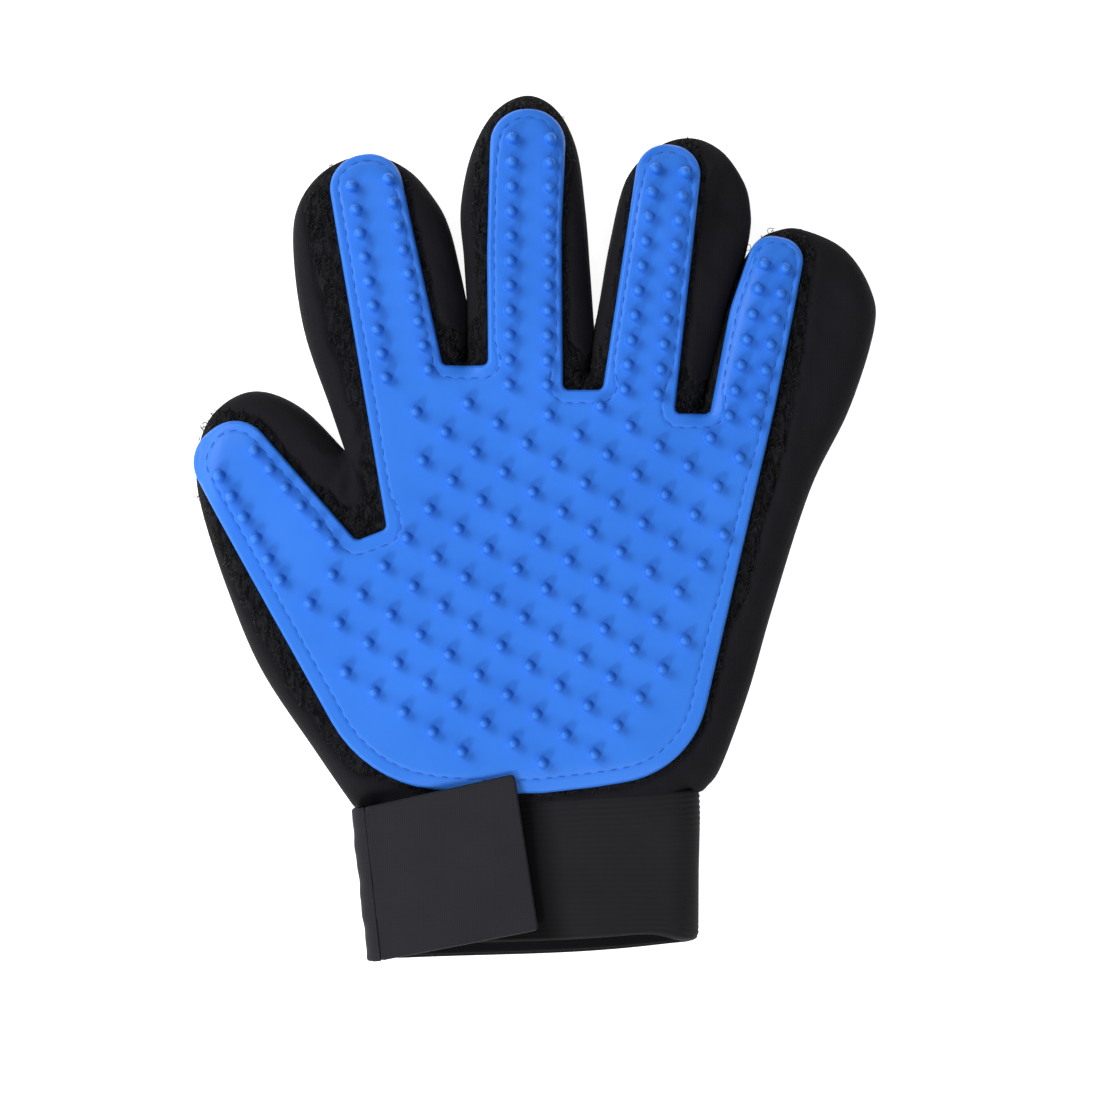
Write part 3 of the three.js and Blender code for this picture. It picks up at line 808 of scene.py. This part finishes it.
def attach(obj, segment):
    """Parents a palm piece to the palm's body; a piece of any other segment only has its transform applied to
    its mesh.
    """
    if segment == "palm":
        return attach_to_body(obj, "palm")
    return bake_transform(obj)


def fabric_sheet():
    """The flat sheet inside the glove's outline, cut along every line that its heights or pieces need."""
    points, faces = grid_sheet(OUTLINE_LOW + (-2, 58), OUTLINE_HIGH + 2, FABRIC_PITCH)
    table = fields(points)
    near = (table[:, DEPTH] > -RIM_MARGIN * FABRIC_PITCH) & (seam_field(points) > -WRIST_TUCK - 3)
    table, faces = cut_segments(table, faces[near[faces].all(1)])
    table = fields(table[:, :2])
    table, faces = cut(table, faces, table[:, DEPTH])
    table, faces = cut(table, faces, seam_field(table[:, :2]) + WRIST_TUCK)
    table[np.abs(table[:, DEPTH]) < SNAP, DEPTH] = 0
    table, faces = cut_rows(table, faces, {DEPTH: EDGE_ROWS, MESH: SEAM_ROWS})
    middle = table[faces].mean(1)
    keep = is_inside(middle[:, :2], OUTLINE) & (seam_field(middle[:, :2]) > -WRIST_TUCK)
    return table, faces[keep], middle[keep]


def build_fabric():
    """The mesh panel and the back panel of every segment. Returns the shell's points, the front faces and
    point normals of each segment's mesh panel, and the table."""
    table, faces, middle = fabric_sheet()
    segment = segment_of(middle[:, :2])
    count = len(table)
    rim = np.abs(table[:, DEPTH]) < 1e-6
    top = np.column_stack([table[:, :2], fabric_front(table)])
    bottom = np.column_stack([table[:, :2], fabric_back(table)])
    top[rim, 2] = bottom[rim, 2] = (top[rim, 2] + bottom[rim, 2]) / 2
    points = np.concatenate([top, bottom])
    under = np.where(rim, np.arange(count), np.arange(count) + count)
    bottom_faces = under[faces[:, ::-1]]
    in_mesh = middle[:, MESH] > 0
    surfaces = {}
    for k, name in enumerate(SEGMENTS):
        # normals come from the segment and those that it joins, so that no seam shows between them
        base = (k + 1) // 2 * 2 - 1
        joined = np.isin(segment, [0, base, base + 1]) if k else np.ones(len(faces), bool)
        normals = point_normals(points, np.concatenate([faces[joined], bottom_faces[joined]]))
        front, back = faces[(segment == k) & in_mesh], faces[(segment == k) & ~in_mesh]
        surfaces[name] = (front, normals)
        for kind, slot, part, material in (
                ("mesh_panel", "spacer_mesh", front, SPACER),
                ("back_panel", "knit", np.concatenate([back, bottom_faces[segment == k]]), KNIT)):
            part, own, own_normals = compact(part, points, normals)
            own, part, own_normals = thickened(own, part, own_normals, own - own_normals * CLOTH)
            obj = new_object(f"{name}_{kind}_fabric", own, part, material, own_normals)
            attach(obj, name)
            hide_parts(f"{name}_{kind}")
    return points, surfaces, table


# ---- silicone pad ----

NUB_PROFILE = [(2.0, -0.03), (1.84, 0.01), (1.7, 0.07), (1.6, 0.22), (1.54, 0.55), (1.5, 1.2), (1.44, 1.9),
               (1.32, 2.55), (1.12, 3.05), (0.81, 3.38), (0.42, 3.55), (0.0, 3.6)]
NUB_SIDES = 24
NUB_SINK = 0.02            # a nub's foot is this far inside the pad
PAD_ROWS = (0.0, 0.1, 0.3, 0.6, 0.9)
STITCH_ROWS = (-0.7, -0.3, 0.0, 0.3, 0.7)


def nub_places():
    """Every nub's place on the glove."""
    places = [np.array(GRID_ORIGIN) + i * np.array(STEP_I) + j * np.array(STEP_J)
              for i, first, last in GRID_LINES for j in range(first, last + 1)]
    for name, digit in DIGITS.items():
        base, along, across, pitch = digit_axes(name)
        for row in range(digit["rows"]):
            share = row / (digit["rows"] - 1)
            spread = digit["spread"][0] * (1 - share) + digit["spread"][1] * share
            places += [base + along * row * pitch + across * side for side in (-spread, spread)]
    return np.array(places)


def nub_shape():
    """One nub's points and faces about its own foot."""
    angles = np.arange(NUB_SIDES) * 2 * math.pi / NUB_SIDES
    points = [(r * math.cos(a), r * math.sin(a), z) for r, z in NUB_PROFILE[:-1] for a in angles]
    points.append((0, 0, NUB_PROFILE[-1][1]))
    k = np.arange(NUB_SIDES)
    faces = []
    for ring in range(len(NUB_PROFILE) - 2):
        a, b = ring * NUB_SIDES + k, ring * NUB_SIDES + (k + 1) % NUB_SIDES
        faces += [np.stack([a, b, b + NUB_SIDES], 1), np.stack([a, b + NUB_SIDES, a + NUB_SIDES], 1)]
    last = len(points) - 1 - NUB_SIDES
    faces.append(np.stack([last + k, last + (k + 1) % NUB_SIDES, np.full(NUB_SIDES, len(points) - 1)], 1))
    return np.array(points), np.concatenate(faces)


def pad_sheet():
    """The flat sheet inside the pad's outline, cut in the same way as the fabric's."""
    points, faces = grid_sheet(PAD_OUTLINE.min(0) - 1, PAD_OUTLINE.max(0) + 1, PAD_PITCH)
    table = fields(points)
    table, faces = cut_segments(table, faces[(table[:, PAD] > -RIM_MARGIN * PAD_PITCH)[faces].all(1)])
    table, faces = cut_rows(table, faces, {PAD: PAD_ROWS, STITCH: STITCH_ROWS})
    middle = table[faces].mean(1)
    keep = middle[:, PAD] > 0
    return table, faces[keep], middle[keep]


def build_pad():
    """The silicone pad of every segment, with its nubs."""
    table, faces, middle = pad_sheet()
    segment = segment_of(middle[:, :2])
    top = np.column_stack([table[:, :2], pad_top(table)])
    foot = np.column_stack([table[:, :2], pad_base(table)])
    normals = point_normals(top, faces)
    nubs = nub_places()
    nub_segment = segment_of(nubs)
    heights = pad_top(fields(nubs))
    shape, shape_faces = nub_shape()
    shape_normals = point_normals(shape, shape_faces)
    shape_normals[:2 * NUB_SIDES] = (0, 0, 1)
    for k, name in enumerate(SEGMENTS):
        own_faces, own, own_normals, lower = compact(faces[segment == k], top, normals, foot)
        own, own_faces, own_normals = thickened(own, own_faces, own_normals, lower)
        parts, part_faces, part_normals = [own], [own_faces], [own_normals]
        for n, nub in enumerate(np.flatnonzero(nub_segment == k)):
            raised = shape + (*nubs[nub], heights[nub])
            raised[:NUB_SIDES, 2] = pad_top(fields(raised[:NUB_SIDES, :2])) - NUB_SINK
            parts.append(raised)
            part_faces.append(shape_faces + len(own) + n * len(shape))
            part_normals.append(shape_normals)
        obj = new_object(f"{name}_silicone_pad", np.concatenate(parts), np.concatenate(part_faces), SILICONE,
                         np.concatenate(part_normals))
        attach(obj, name)
        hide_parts(f"{name}_pad")


# ---- stitching that holds the pad to the mesh panel ----

STITCH_LEAN = 0.08         # a stitch leans off the line by up to this share of its length
STITCH_LIFT = 0.02
STITCH_DIP = 0.22          # its ends go down into the pad by this much
THREAD_SIDES = 6
THREAD_RINGS = [(-1.0, 0.0), (-0.93, 0.6), (-0.7, 0.95), (0.0, 1.0), (0.7, 0.95), (0.93, 0.6), (1.0, 0.0)]


def tube_faces(first, rings, sides):
    """Quads between rings of points that start at the first, with capped ends."""
    faces = []
    for r in range(rings - 1):
        for k in range(sides):
            a, b = first + r * sides + k, first + r * sides + (k + 1) % sides
            faces.append((a, b, b + sides, a + sides))
    faces.append(tuple(first + k for k in reversed(range(sides))))
    faces.append(tuple(first + (rings - 1) * sides + k for k in range(sides)))
    return faces


def inset_path(path, distance):
    """The closed path moved inwards; its corners keep their mitres."""
    keep = np.linalg.norm(np.roll(path, -1, 0) - path, axis=1) > 1e-6
    path, distance = path[keep], distance[keep]
    after = np.roll(path, -1, 0) - path
    after /= np.linalg.norm(after, axis=1)[:, None]
    inward = np.stack([-after[:, 1], after[:, 0]], 1)
    before = np.roll(inward, 1, 0)
    mitre = (before + inward) / (1 + (before * inward).sum(1))[:, None]
    return path + mitre * distance


def stitch_marks():
    """The middle and direction of each stitch, at even steps along the line inside the pad's edge."""
    dense = np.concatenate([np.linspace(a, b, max(1, int(np.linalg.norm(b - a) / 2)), endpoint=False)
                            for a, b in zip(PAD_OUTLINE, np.roll(PAD_OUTLINE, -1, 0))])
    path = inset_path(dense, between_spots(dense, STITCH_INSETS)[:, None])
    step = np.roll(path, -1, 0) - path
    length = np.linalg.norm(step, axis=1)
    reached = np.concatenate([[0], np.cumsum(length)])
    count = int(reached[-1] / STITCH_PITCH)
    marks = []
    for k in range(count):
        at = (k + 0.5) * reached[-1] / count
        i = min(np.searchsorted(reached, at) - 1, len(path) - 1)
        marks.append((path[i] + step[i] / length[i] * (at - reached[i]), step[i] / length[i]))
    return marks


def build_stitching():
    """One object of stitches for each segment that the line of stitching crosses."""
    marks = stitch_marks()
    segment = segment_of(np.array([middle for middle, _ in marks]))
    parts = {name: ([], []) for name in SEGMENTS}
    turns = -2 * math.pi * np.arange(THREAD_SIDES) / THREAD_SIDES
    for (middle, way), k in zip(marks, segment):
        side = np.array((way[1], -way[0]))
        way = way + side * random.uniform(-STITCH_LEAN, STITCH_LEAN)
        half = STITCH_LENGTH / 2 * random.uniform(0.86, 1.05)
        spine = np.array([middle + way * half * t for t, _ in THREAD_RINGS])
        heights = pad_top(fields(spine)) + STITCH_LIFT
        points, faces = parts[SEGMENTS[k]]
        first = len(points)
        for (t, share), at, height in zip(THREAD_RINGS, spine, heights):
            radius = STITCH_RADIUS * max(share, 0.2)
            level = height - STITCH_DIP * t ** 4
            points += [(*(at + side * math.cos(a) * radius), level + math.sin(a) * radius) for a in turns]
        faces += tube_faces(first, len(THREAD_RINGS), THREAD_SIDES)
    for name, (points, faces) in parts.items():
        if points:
            obj = new_object(f"{name}_pad_stitching", points, faces, THREAD)
            attach(obj, name)


# ---- looped yarn that stands out of the mesh panel ----

LOOP_SIDES = 3
LOOP_STEPS = 6
LOOP_RADIUS = 0.1
LOOP_LEAST = 0.9           # the smallest loop's width
LOOP_SPREAD = 1.7          # and how much wider the widest one is
LOOPS_FOR_EACH_MM2 = 0.6
LOOP_CLEARANCE = 0.2       # no loop stands nearer the pad's edge
LOOP_UPRIGHT = 0.72        # loops stand only where the fabric faces up by this much
LOOP_TILT = 0.45
LOOP_SEED = 7
FRAY_REACH = 3.5           # frays stand at most this far from the pad
FRAY_CHANCE = 0.09         # share of the loops on the fabric's side that stand out of it
FRAYED_SPOTS = [(-86, 31, 9, 0.6), (-50, 97, 6, 0.3)]     # worn places: x, y, reach and added chance


def loop_yarn(foot, up, way, size):
    """The points of a bent loop of yarn that rises from its foot and comes back to the surface."""
    side = unit(np.cross(up, way))
    points = []
    for a in math.pi * np.arange(LOOP_STEPS + 1) / LOOP_STEPS:
        middle = (foot - way * math.cos(a) * size * 0.5 + up * (math.sin(a) * size * 0.62 - 0.1)
                  + side * math.sin(2 * a) * size * 0.2)
        out = -way * math.cos(a) + up * math.sin(a)
        points += [middle + (out * math.cos(b) + side * math.sin(b)) * LOOP_RADIUS
                   for b in 2 * math.pi * np.arange(LOOP_SIDES) / LOOP_SIDES]
    return points


def build_loops():
    """Loops of yarn all over each segment's mesh panel, placed by a seeded random draw."""
    spread = np.random.default_rng(LOOP_SEED)
    for name, (faces, normals) in FABRIC_SURFACES.items():
        inside_pad = FABRIC_TABLE[faces, PAD].mean(1)
        shown = inside_pad < -LOOP_CLEARANCE
        faces, inside_pad = faces[shown], inside_pad[shown]
        corners = FABRIC_POINTS[faces]
        sides = corners[:, 1:] - corners[:, :1]
        area = np.linalg.norm(np.cross(sides[:, 0], sides[:, 1]), axis=1) / 2
        count = int(area.sum() * LOOPS_FOR_EACH_MM2)
        pick = spread.choice(len(area), count, p=area / area.sum())
        share = spread.dirichlet((1, 1, 1), count)
        feet = (corners[pick] * share[..., None]).sum(1)
        ups = (normals[faces[pick]] * share[..., None]).sum(1)
        ups /= np.linalg.norm(ups, axis=1)[:, None]
        chance = FRAY_CHANCE + sum(more * bell(np.hypot(feet[:, 0] - x, feet[:, 1] - y), reach)
                                   for x, y, reach, more in FRAYED_SPOTS)
        frayed = (spread.random(count) < chance) & (inside_pad[pick] > -FRAY_REACH)
        standing = (ups[:, 2] > LOOP_UPRIGHT) | frayed
        points, loop_faces = [], []
        for foot, up in zip(feet[standing], ups[standing]):
            up = unit(up + spread.normal(0, LOOP_TILT, 3))
            way = unit(np.cross(up, (1, *spread.normal(0, 0.6, 2))))
            size = LOOP_LEAST + LOOP_SPREAD * spread.random() ** 2
            loop_faces += tube_faces(len(points), LOOP_STEPS + 1, LOOP_SIDES)
            points += loop_yarn(foot, up, way, size)
        obj = new_object(f"{name}_mesh_loops", points, loop_faces, YARN)
        attach(obj, name)


# ---- wrist band, its hem and patches ----

BAND_TOP = 16.5
BAND_BOTTOM = 0.05
BAND_WALL = 1.3
BAND_RINGS = 150
BAND_FLAT = 56             # points along the front, and along the back
BAND_ARC = 16              # points round each side
BACK_SLACK = 0.3           # the back's slack as a share of the front's
RIB_PITCH = 1.5
RIB_HEIGHT = 0.13
SEAM_LIP = (0.9, 1.2)      # how deep and how long the band's end is rounded at the palm's seam
MOUTH_LIP = (0.6, 0.9)     # and at the mouth
SEAM_DIP = (0.55, 5.5)     # the shallow valley along the seam: depth and width
HEM_DEPTH = 8.0            # the hem's length inside the mouth
HEM_WALL = 1.1             # its inner face lies this far inside the band's wall
HEM_GAP = 0.15             # and its outer face this far
HEM_ENDS = (0.985, 0.98)   # where those faces end, as shares of the band's length
INNER_RINGS = 30
HEM_RINGS = 14


def curve_at(points, share):
    """The X and Y of a side curve at a share of its length in Y."""
    points = np.array(points)
    y = points[0, 1] + (points[-1, 1] - points[0, 1]) * share
    return np.interp(-y, -points[:, 1], points[:, 0]), y


def band_sag(across, share):
    """The slack of the band's front at a place across it and down it."""
    wave = 0.25 * np.sin(across * 7 + 1) * np.sin(share * 5 + across * 3)
    return wave * smoothstep(across * 6) * smoothstep((1 - across) * 6)


def band_ring(share, inset=0.0):
    """The points round the band at one share of its length; share 1 is the mouth."""
    left_x, left_y = curve_at(BAND_LEFT, share)
    right_x, right_y = curve_at(BAND_RIGHT, share)
    from_mouth = (1 - share) * (BAND_RIGHT[0][1] - BAND_RIGHT[-1][1])
    right_x -= MOUTH_CORNER * (1 - quarter_round(from_mouth / MOUTH_CORNER)) * MOUTH_CORNER_SHARE
    radius, middle = (BAND_TOP - BAND_BOTTOM) / 2, (BAND_TOP + BAND_BOTTOM) / 2
    inner = radius - inset
    x0, x1 = left_x + radius, right_x - radius
    ring = []
    for end, other, start, way in ((x1, x0, math.pi / 2, 1), (x0, x1, -math.pi / 2, -1)):
        ring += [(other + (end - other) * k / BAND_FLAT, middle + way * inner) for k in range(BAND_FLAT)]
        ring += [(end + inner * math.cos(start - math.pi * k / BAND_ARC),
                  middle + inner * math.sin(start - math.pi * k / BAND_ARC)) for k in range(BAND_ARC)]
    points = []
    near_mouth = smoothstep((share - MOUTH_FROM) / (1 - MOUTH_FROM))
    for x, z in ring:
        across = (x - left_x) / (right_x - left_x)
        rise = MOUTH_RISE * smoothstep(z / BAND_TOP) * (1 - MOUTH_JOIN * bell(across - 1.0, MOUTH_JOIN_WIDTH))
        sag = MOUTH_SAG * math.sin(math.pi * np.clip(across, 0, 1) ** 1.6)
        y = left_y + (right_y - left_y) * across + (rise - sag) * near_mouth
        level = z + band_sag(across, share) * (1 if z > middle else BACK_SLACK)
        points.append((x, y, max(level, inset)))
    return np.array(points)


def loft(rings):
    """A closed body of quads between rings of the same number of points, the last one joined to the first."""
    count = len(rings[0])
    k = np.arange(count)
    starts = np.arange(len(rings)) * count
    faces = [np.stack([a + k, a + (k + 1) % count, b + (k + 1) % count, b + k], 1)
             for a, b in zip(starts, np.roll(starts, -1))]
    return np.concatenate(rings), np.concatenate(faces)


def build_band():
    """The elastic band with its pressed ribs, and the hem inside its mouth."""
    length = BAND_LEFT[0][1] - BAND_LEFT[-1][1]
    outer = []
    for share in np.arange(BAND_RINGS + 1) / BAND_RINGS:
        from_seam, from_mouth = share * length, (1 - share) * length
        near_edge = max(bell(share, 0.2), 0.7 * bell(share - 1, 0.1))      # the ribs show at both ends
        rib = RIB_HEIGHT * near_edge * math.sin(2 * math.pi * from_seam / RIB_PITCH)
        lip = sum(drop * (1 - min(1, gap / reach)) ** 2
                  for gap, (drop, reach) in ((from_seam, SEAM_LIP), (from_mouth, MOUTH_LIP)))
        outer.append(band_ring(share, lip + SEAM_DIP[0] * bell(from_seam, SEAM_DIP[1]) - rib))
    inner = [band_ring(share, BAND_WALL) for share in np.linspace(1, 0, INNER_RINGS)]
    hem_start = 1 - HEM_DEPTH / length
    hem = [band_ring(share, BAND_WALL + inset) for inset, start, end in (
               (HEM_GAP, hem_start, HEM_ENDS[0]), (HEM_WALL, HEM_ENDS[1], hem_start))
           for share in np.linspace(start, end, HEM_RINGS)]
    for name, rings, material, node, slot in (
            ("wrist_band_elastic", outer + inner, ELASTIC, "wrist_band", "elastic"),
            ("cuff_hem_knit", hem, HEM_KNIT, "cuff_hem", "hem")):
        obj = new_object(name, *loft(rings), material)
        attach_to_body(obj, "palm")
        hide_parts(node)


SLAB_CORNER = 1.1
SLAB_PITCH = 1.2
SLAB_EDGE = 0.5           # width of its rounded edge
SLAB_UNDERSIDE = 0.8       # the edge's rounding underneath, as a share of that on top
SLAB_ROWS = (0.0, 0.1, 0.3, SLAB_EDGE)


def slab(corners, bottom, top, bend):
    """A flat piece of fabric with rounded edges. Its corners are x and y, and a rounding radius where it
    isn't SLAB_CORNER; bend(x, y) lifts it."""
    corners = np.array([(*corner, SLAB_CORNER)[:3] for corner in corners])
    if ((np.roll(corners, -1, 0) - corners)[:, 0] * (np.roll(corners, -1, 0) + corners)[:, 1]).sum() > 0:
        corners = corners[::-1]
    path = rounded(corners)
    points, faces = grid_sheet(path.min(0) - 1, path.max(0) + 1, SLAB_PITCH)
    inside = depth_inside(points, path)
    faces = faces[(inside > -RIM_MARGIN * SLAB_PITCH)[faces].all(1)]
    table = np.column_stack([points, inside])
    table, faces = cut_rows(table, faces, {2: SLAB_ROWS})
    faces, table = compact(faces[table[faces, 2].mean(1) > 0], table)
    x, y, inside = table.T
    round_off = 1 - quarter_round(inside / SLAB_EDGE)
    half = (top - bottom) / 2
    upper = np.column_stack([x, y, top - half * round_off + bend(x, y)])
    lower = np.column_stack([x, y, bottom + half * round_off * SLAB_UNDERSIDE + bend(x, y)])
    return thickened(upper, faces, point_normals(upper, faces), lower)


def band_front(x, y):
    """How far the band's front stands above its level at a place."""
    return band_sag((x + 43.5) / 87.8, (-75.6 - y) / 42)


HOOK_CORNERS = [(-30, -112), (-1.5, -106.6), (-7, -70), (-34.5, -74.8)]
LOOP_CORNERS = [(-36, -110.5), (-1.6, -106.9), (-6.8, -73.2), (-36, -76.2)]
LOOP_LEVEL = (16.55, 17.5)
HOOK_LEVEL = (17.95, 18.75)
TAB_LEVEL = (19.0, 20.6)


def tab_lift(x, y):
    """The tab's gentle set: it springs up a little at its free corners and dips in the middle."""
    along = (x - FOLD_TOP[0]) / 45
    down = (y + 92) / 23
    return 0.35 * np.sin(down * 1.8 + 0.4) * along + 0.25 * np.sin(along * 4.2 + down) - 0.45 * along


def bend_tab(obj):
    """Applies the tab's transform to its mesh."""
    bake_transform(obj)


def build_patches():
    """The two halves of the fastening, and the tab."""
    for name, corners, level, material, node, slot, bend in (
            ("loop_patch_pile", LOOP_CORNERS, LOOP_LEVEL, HEM_KNIT, "loop_patch", "loop_pile", band_front),
            ("hook_patch_tape", HOOK_CORNERS, HOOK_LEVEL, HOOK, "hook_patch", "hook_tape", tab_lift),
            ("closure_tab_fabric", TAB_CORNERS, TAB_LEVEL, TAB_FABRIC, "closure_tab", "tab_fabric",
             tab_lift)):
        points, faces, normals = slab(corners, *level, bend)
        obj = new_object(name, points, faces, material, normals)
        if node == "closure_tab":
            bend_tab(obj)
        else:
            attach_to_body(obj, "palm" if node == "loop_patch" else "tab")
        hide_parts(node)


ANCHOR_WIDTH = 3.6
ANCHOR_END = 6.5
ANCHOR_ROUND = 3.3
ANCHOR_THICK = 1.5
ANCHOR_SINK = 0.4          # its lower end is this far inside the band's side
ANCHOR_CORNER = 1.0
ANCHOR_END_ROWS = (0, 0.1, 0.3, 0.6, 1.0)


def anchor_section(thick, band_side):
    """The strip's section from the fold, over the band's side and down to where it is sewn to it: distance
    in from the crease, and height."""
    top = TAB_LEVEL[1] - (ANCHOR_THICK - thick)
    radius = ANCHOR_ROUND - (ANCHOR_THICK - thick)
    middle, level = ANCHOR_ROUND - ANCHOR_WIDTH, TAB_LEVEL[1] - ANCHOR_ROUND
    section = [(0.25, top), (-0.1, top + 0.12)]
    for a in np.linspace(math.pi / 2, math.pi, 13):
        section.append((middle + radius * math.cos(a), level + radius * math.sin(a)))
    side = band_side + ANCHOR_SINK - thick
    for share in np.arange(1, 11) / 10:
        section.append((middle - radius + (side - middle + radius) * smoothstep(share),
                        level + (ANCHOR_END - level) * share))
    return section


def build_anchor():
    """The strip that the tab folds from, down the band's thumb side."""
    length = np.linalg.norm(CREASE_BOTTOM - CREASE_TOP)
    near_end = np.array(ANCHOR_END_ROWS) / length
    shares = (*near_end, *np.linspace(2 / length, 1 - 2 / length, 42), *(1 - near_end[::-1]))
    points = []
    for share in shares:
        end = min(share, 1 - share) * length
        squeeze = 0.5 * (1 - min(1, end / 0.8)) ** 2
        corner = 1 - quarter_round(end / ANCHOR_CORNER)
        wave = 0.14 * math.sin(share * 17) + 0.08 * math.sin(share * 41 + 1)
        crease = CREASE_TOP + FOLD_DOWN * share * length
        band_x = np.interp(-crease[1], [-y for _, y in BAND_LEFT], [x for x, _ in BAND_LEFT])
        outer, inner = (anchor_section(thick, band_x - crease[0]) for thick in (ANCHOR_THICK, 0.0))
        for section, down in ((outer, squeeze), (inner[::-1], -squeeze)):
            for s, z in section:
                x, y = crease - FOLD_OUT * (s + (wave + corner if s < -2 else 0))
                points.append((x, y, z - down + (wave * 0.5 if s > -3 else 0)))
    faces = tube_faces(0, len(shares), len(points) // len(shares))
    obj = new_object("tab_anchor_strip", points, faces, TAB_FABRIC)
    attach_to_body(obj, "palm")
    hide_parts("tab_anchor")


# ---- camera, light and floor ----

VIEW_WIDTH = 1.2836        # of the glove's length
VIEW_SHIFT = (0.00548, -0.0071)
LENS = 100.0
SENSOR = 36.0
FLOOR_REACH = 60.0
FLOOR_LEVEL = -0.0003
# Name, place, width and power of each light, in metres and watts
LIGHTS = [
    ("soft", (-0.9, 0.3, 0.75), 0.8, 7.4),
    ("spark", (-0.65, 0.5, 0.7), 0.4, 2.6),
    ("key", (-0.55, -0.8, 0.8), 0.3, 6.2),
    ("fill", (0.3, -1.0, 1.1), 1.0, 6.8),
]


def build_stage():
    """The camera straight above, a pale floor that glows a little, and soft lights."""
    low, high = CAD_BOX
    centre = (low + high) / 2
    camera = add("camera", bpy.data.cameras.new("camera"))
    camera.data.lens = LENS
    camera.data.sensor_width = SENSOR
    distance = VIEW_WIDTH * (high.y - low.y) * LENS / SENSOR
    camera.location = (centre.x + VIEW_SHIFT[0], centre.y + VIEW_SHIFT[1], MIDDLE_HEIGHT * MM + distance)
    bpy.context.scene.camera = camera

    material, _, shader = new_material("studio_floor", 0.9)
    shader.inputs["Base Color"].default_value = (0.75, 0.75, 0.75, 1)
    shader.inputs["Emission Color"].default_value = (1, 1, 1, 1)
    shader.inputs["Emission Strength"].default_value = 0.9
    mesh = bpy.data.meshes.new("studio_floor")
    corners = [(x * FLOOR_REACH, y * FLOOR_REACH, FLOOR_LEVEL)
               for x, y in ((-1, -1), (1, -1), (1, 1), (-1, 1))]
    mesh.from_pydata(corners, [], [(0, 1, 2, 3)])
    mesh.materials.append(material)
    add("studio_floor", mesh)

    for name, place, width, power in LIGHTS:
        light = bpy.data.lights.new(name, "AREA")
        light.size = width
        light.energy = power
        lamp = add(name, light)
        lamp.location = place
        lamp.rotation_mode = "QUATERNION"
        lamp.rotation_quaternion = (centre - Vector(place)).to_track_quat("-Z", "Y")
    world = bpy.data.worlds.new("studio")
    world.use_nodes = True
    background = world.node_tree.nodes["Background"]
    background.inputs["Color"].default_value = (1, 1, 1, 1)
    background.inputs["Strength"].default_value = 0.22
    bpy.context.scene.world = world
    bpy.context.scene.view_settings.view_transform = "Standard"


build_stage()
FABRIC_POINTS, FABRIC_SURFACES, FABRIC_TABLE = build_fabric()
build_pad()
build_stitching()
build_loops()
build_band()
build_patches()
build_anchor()
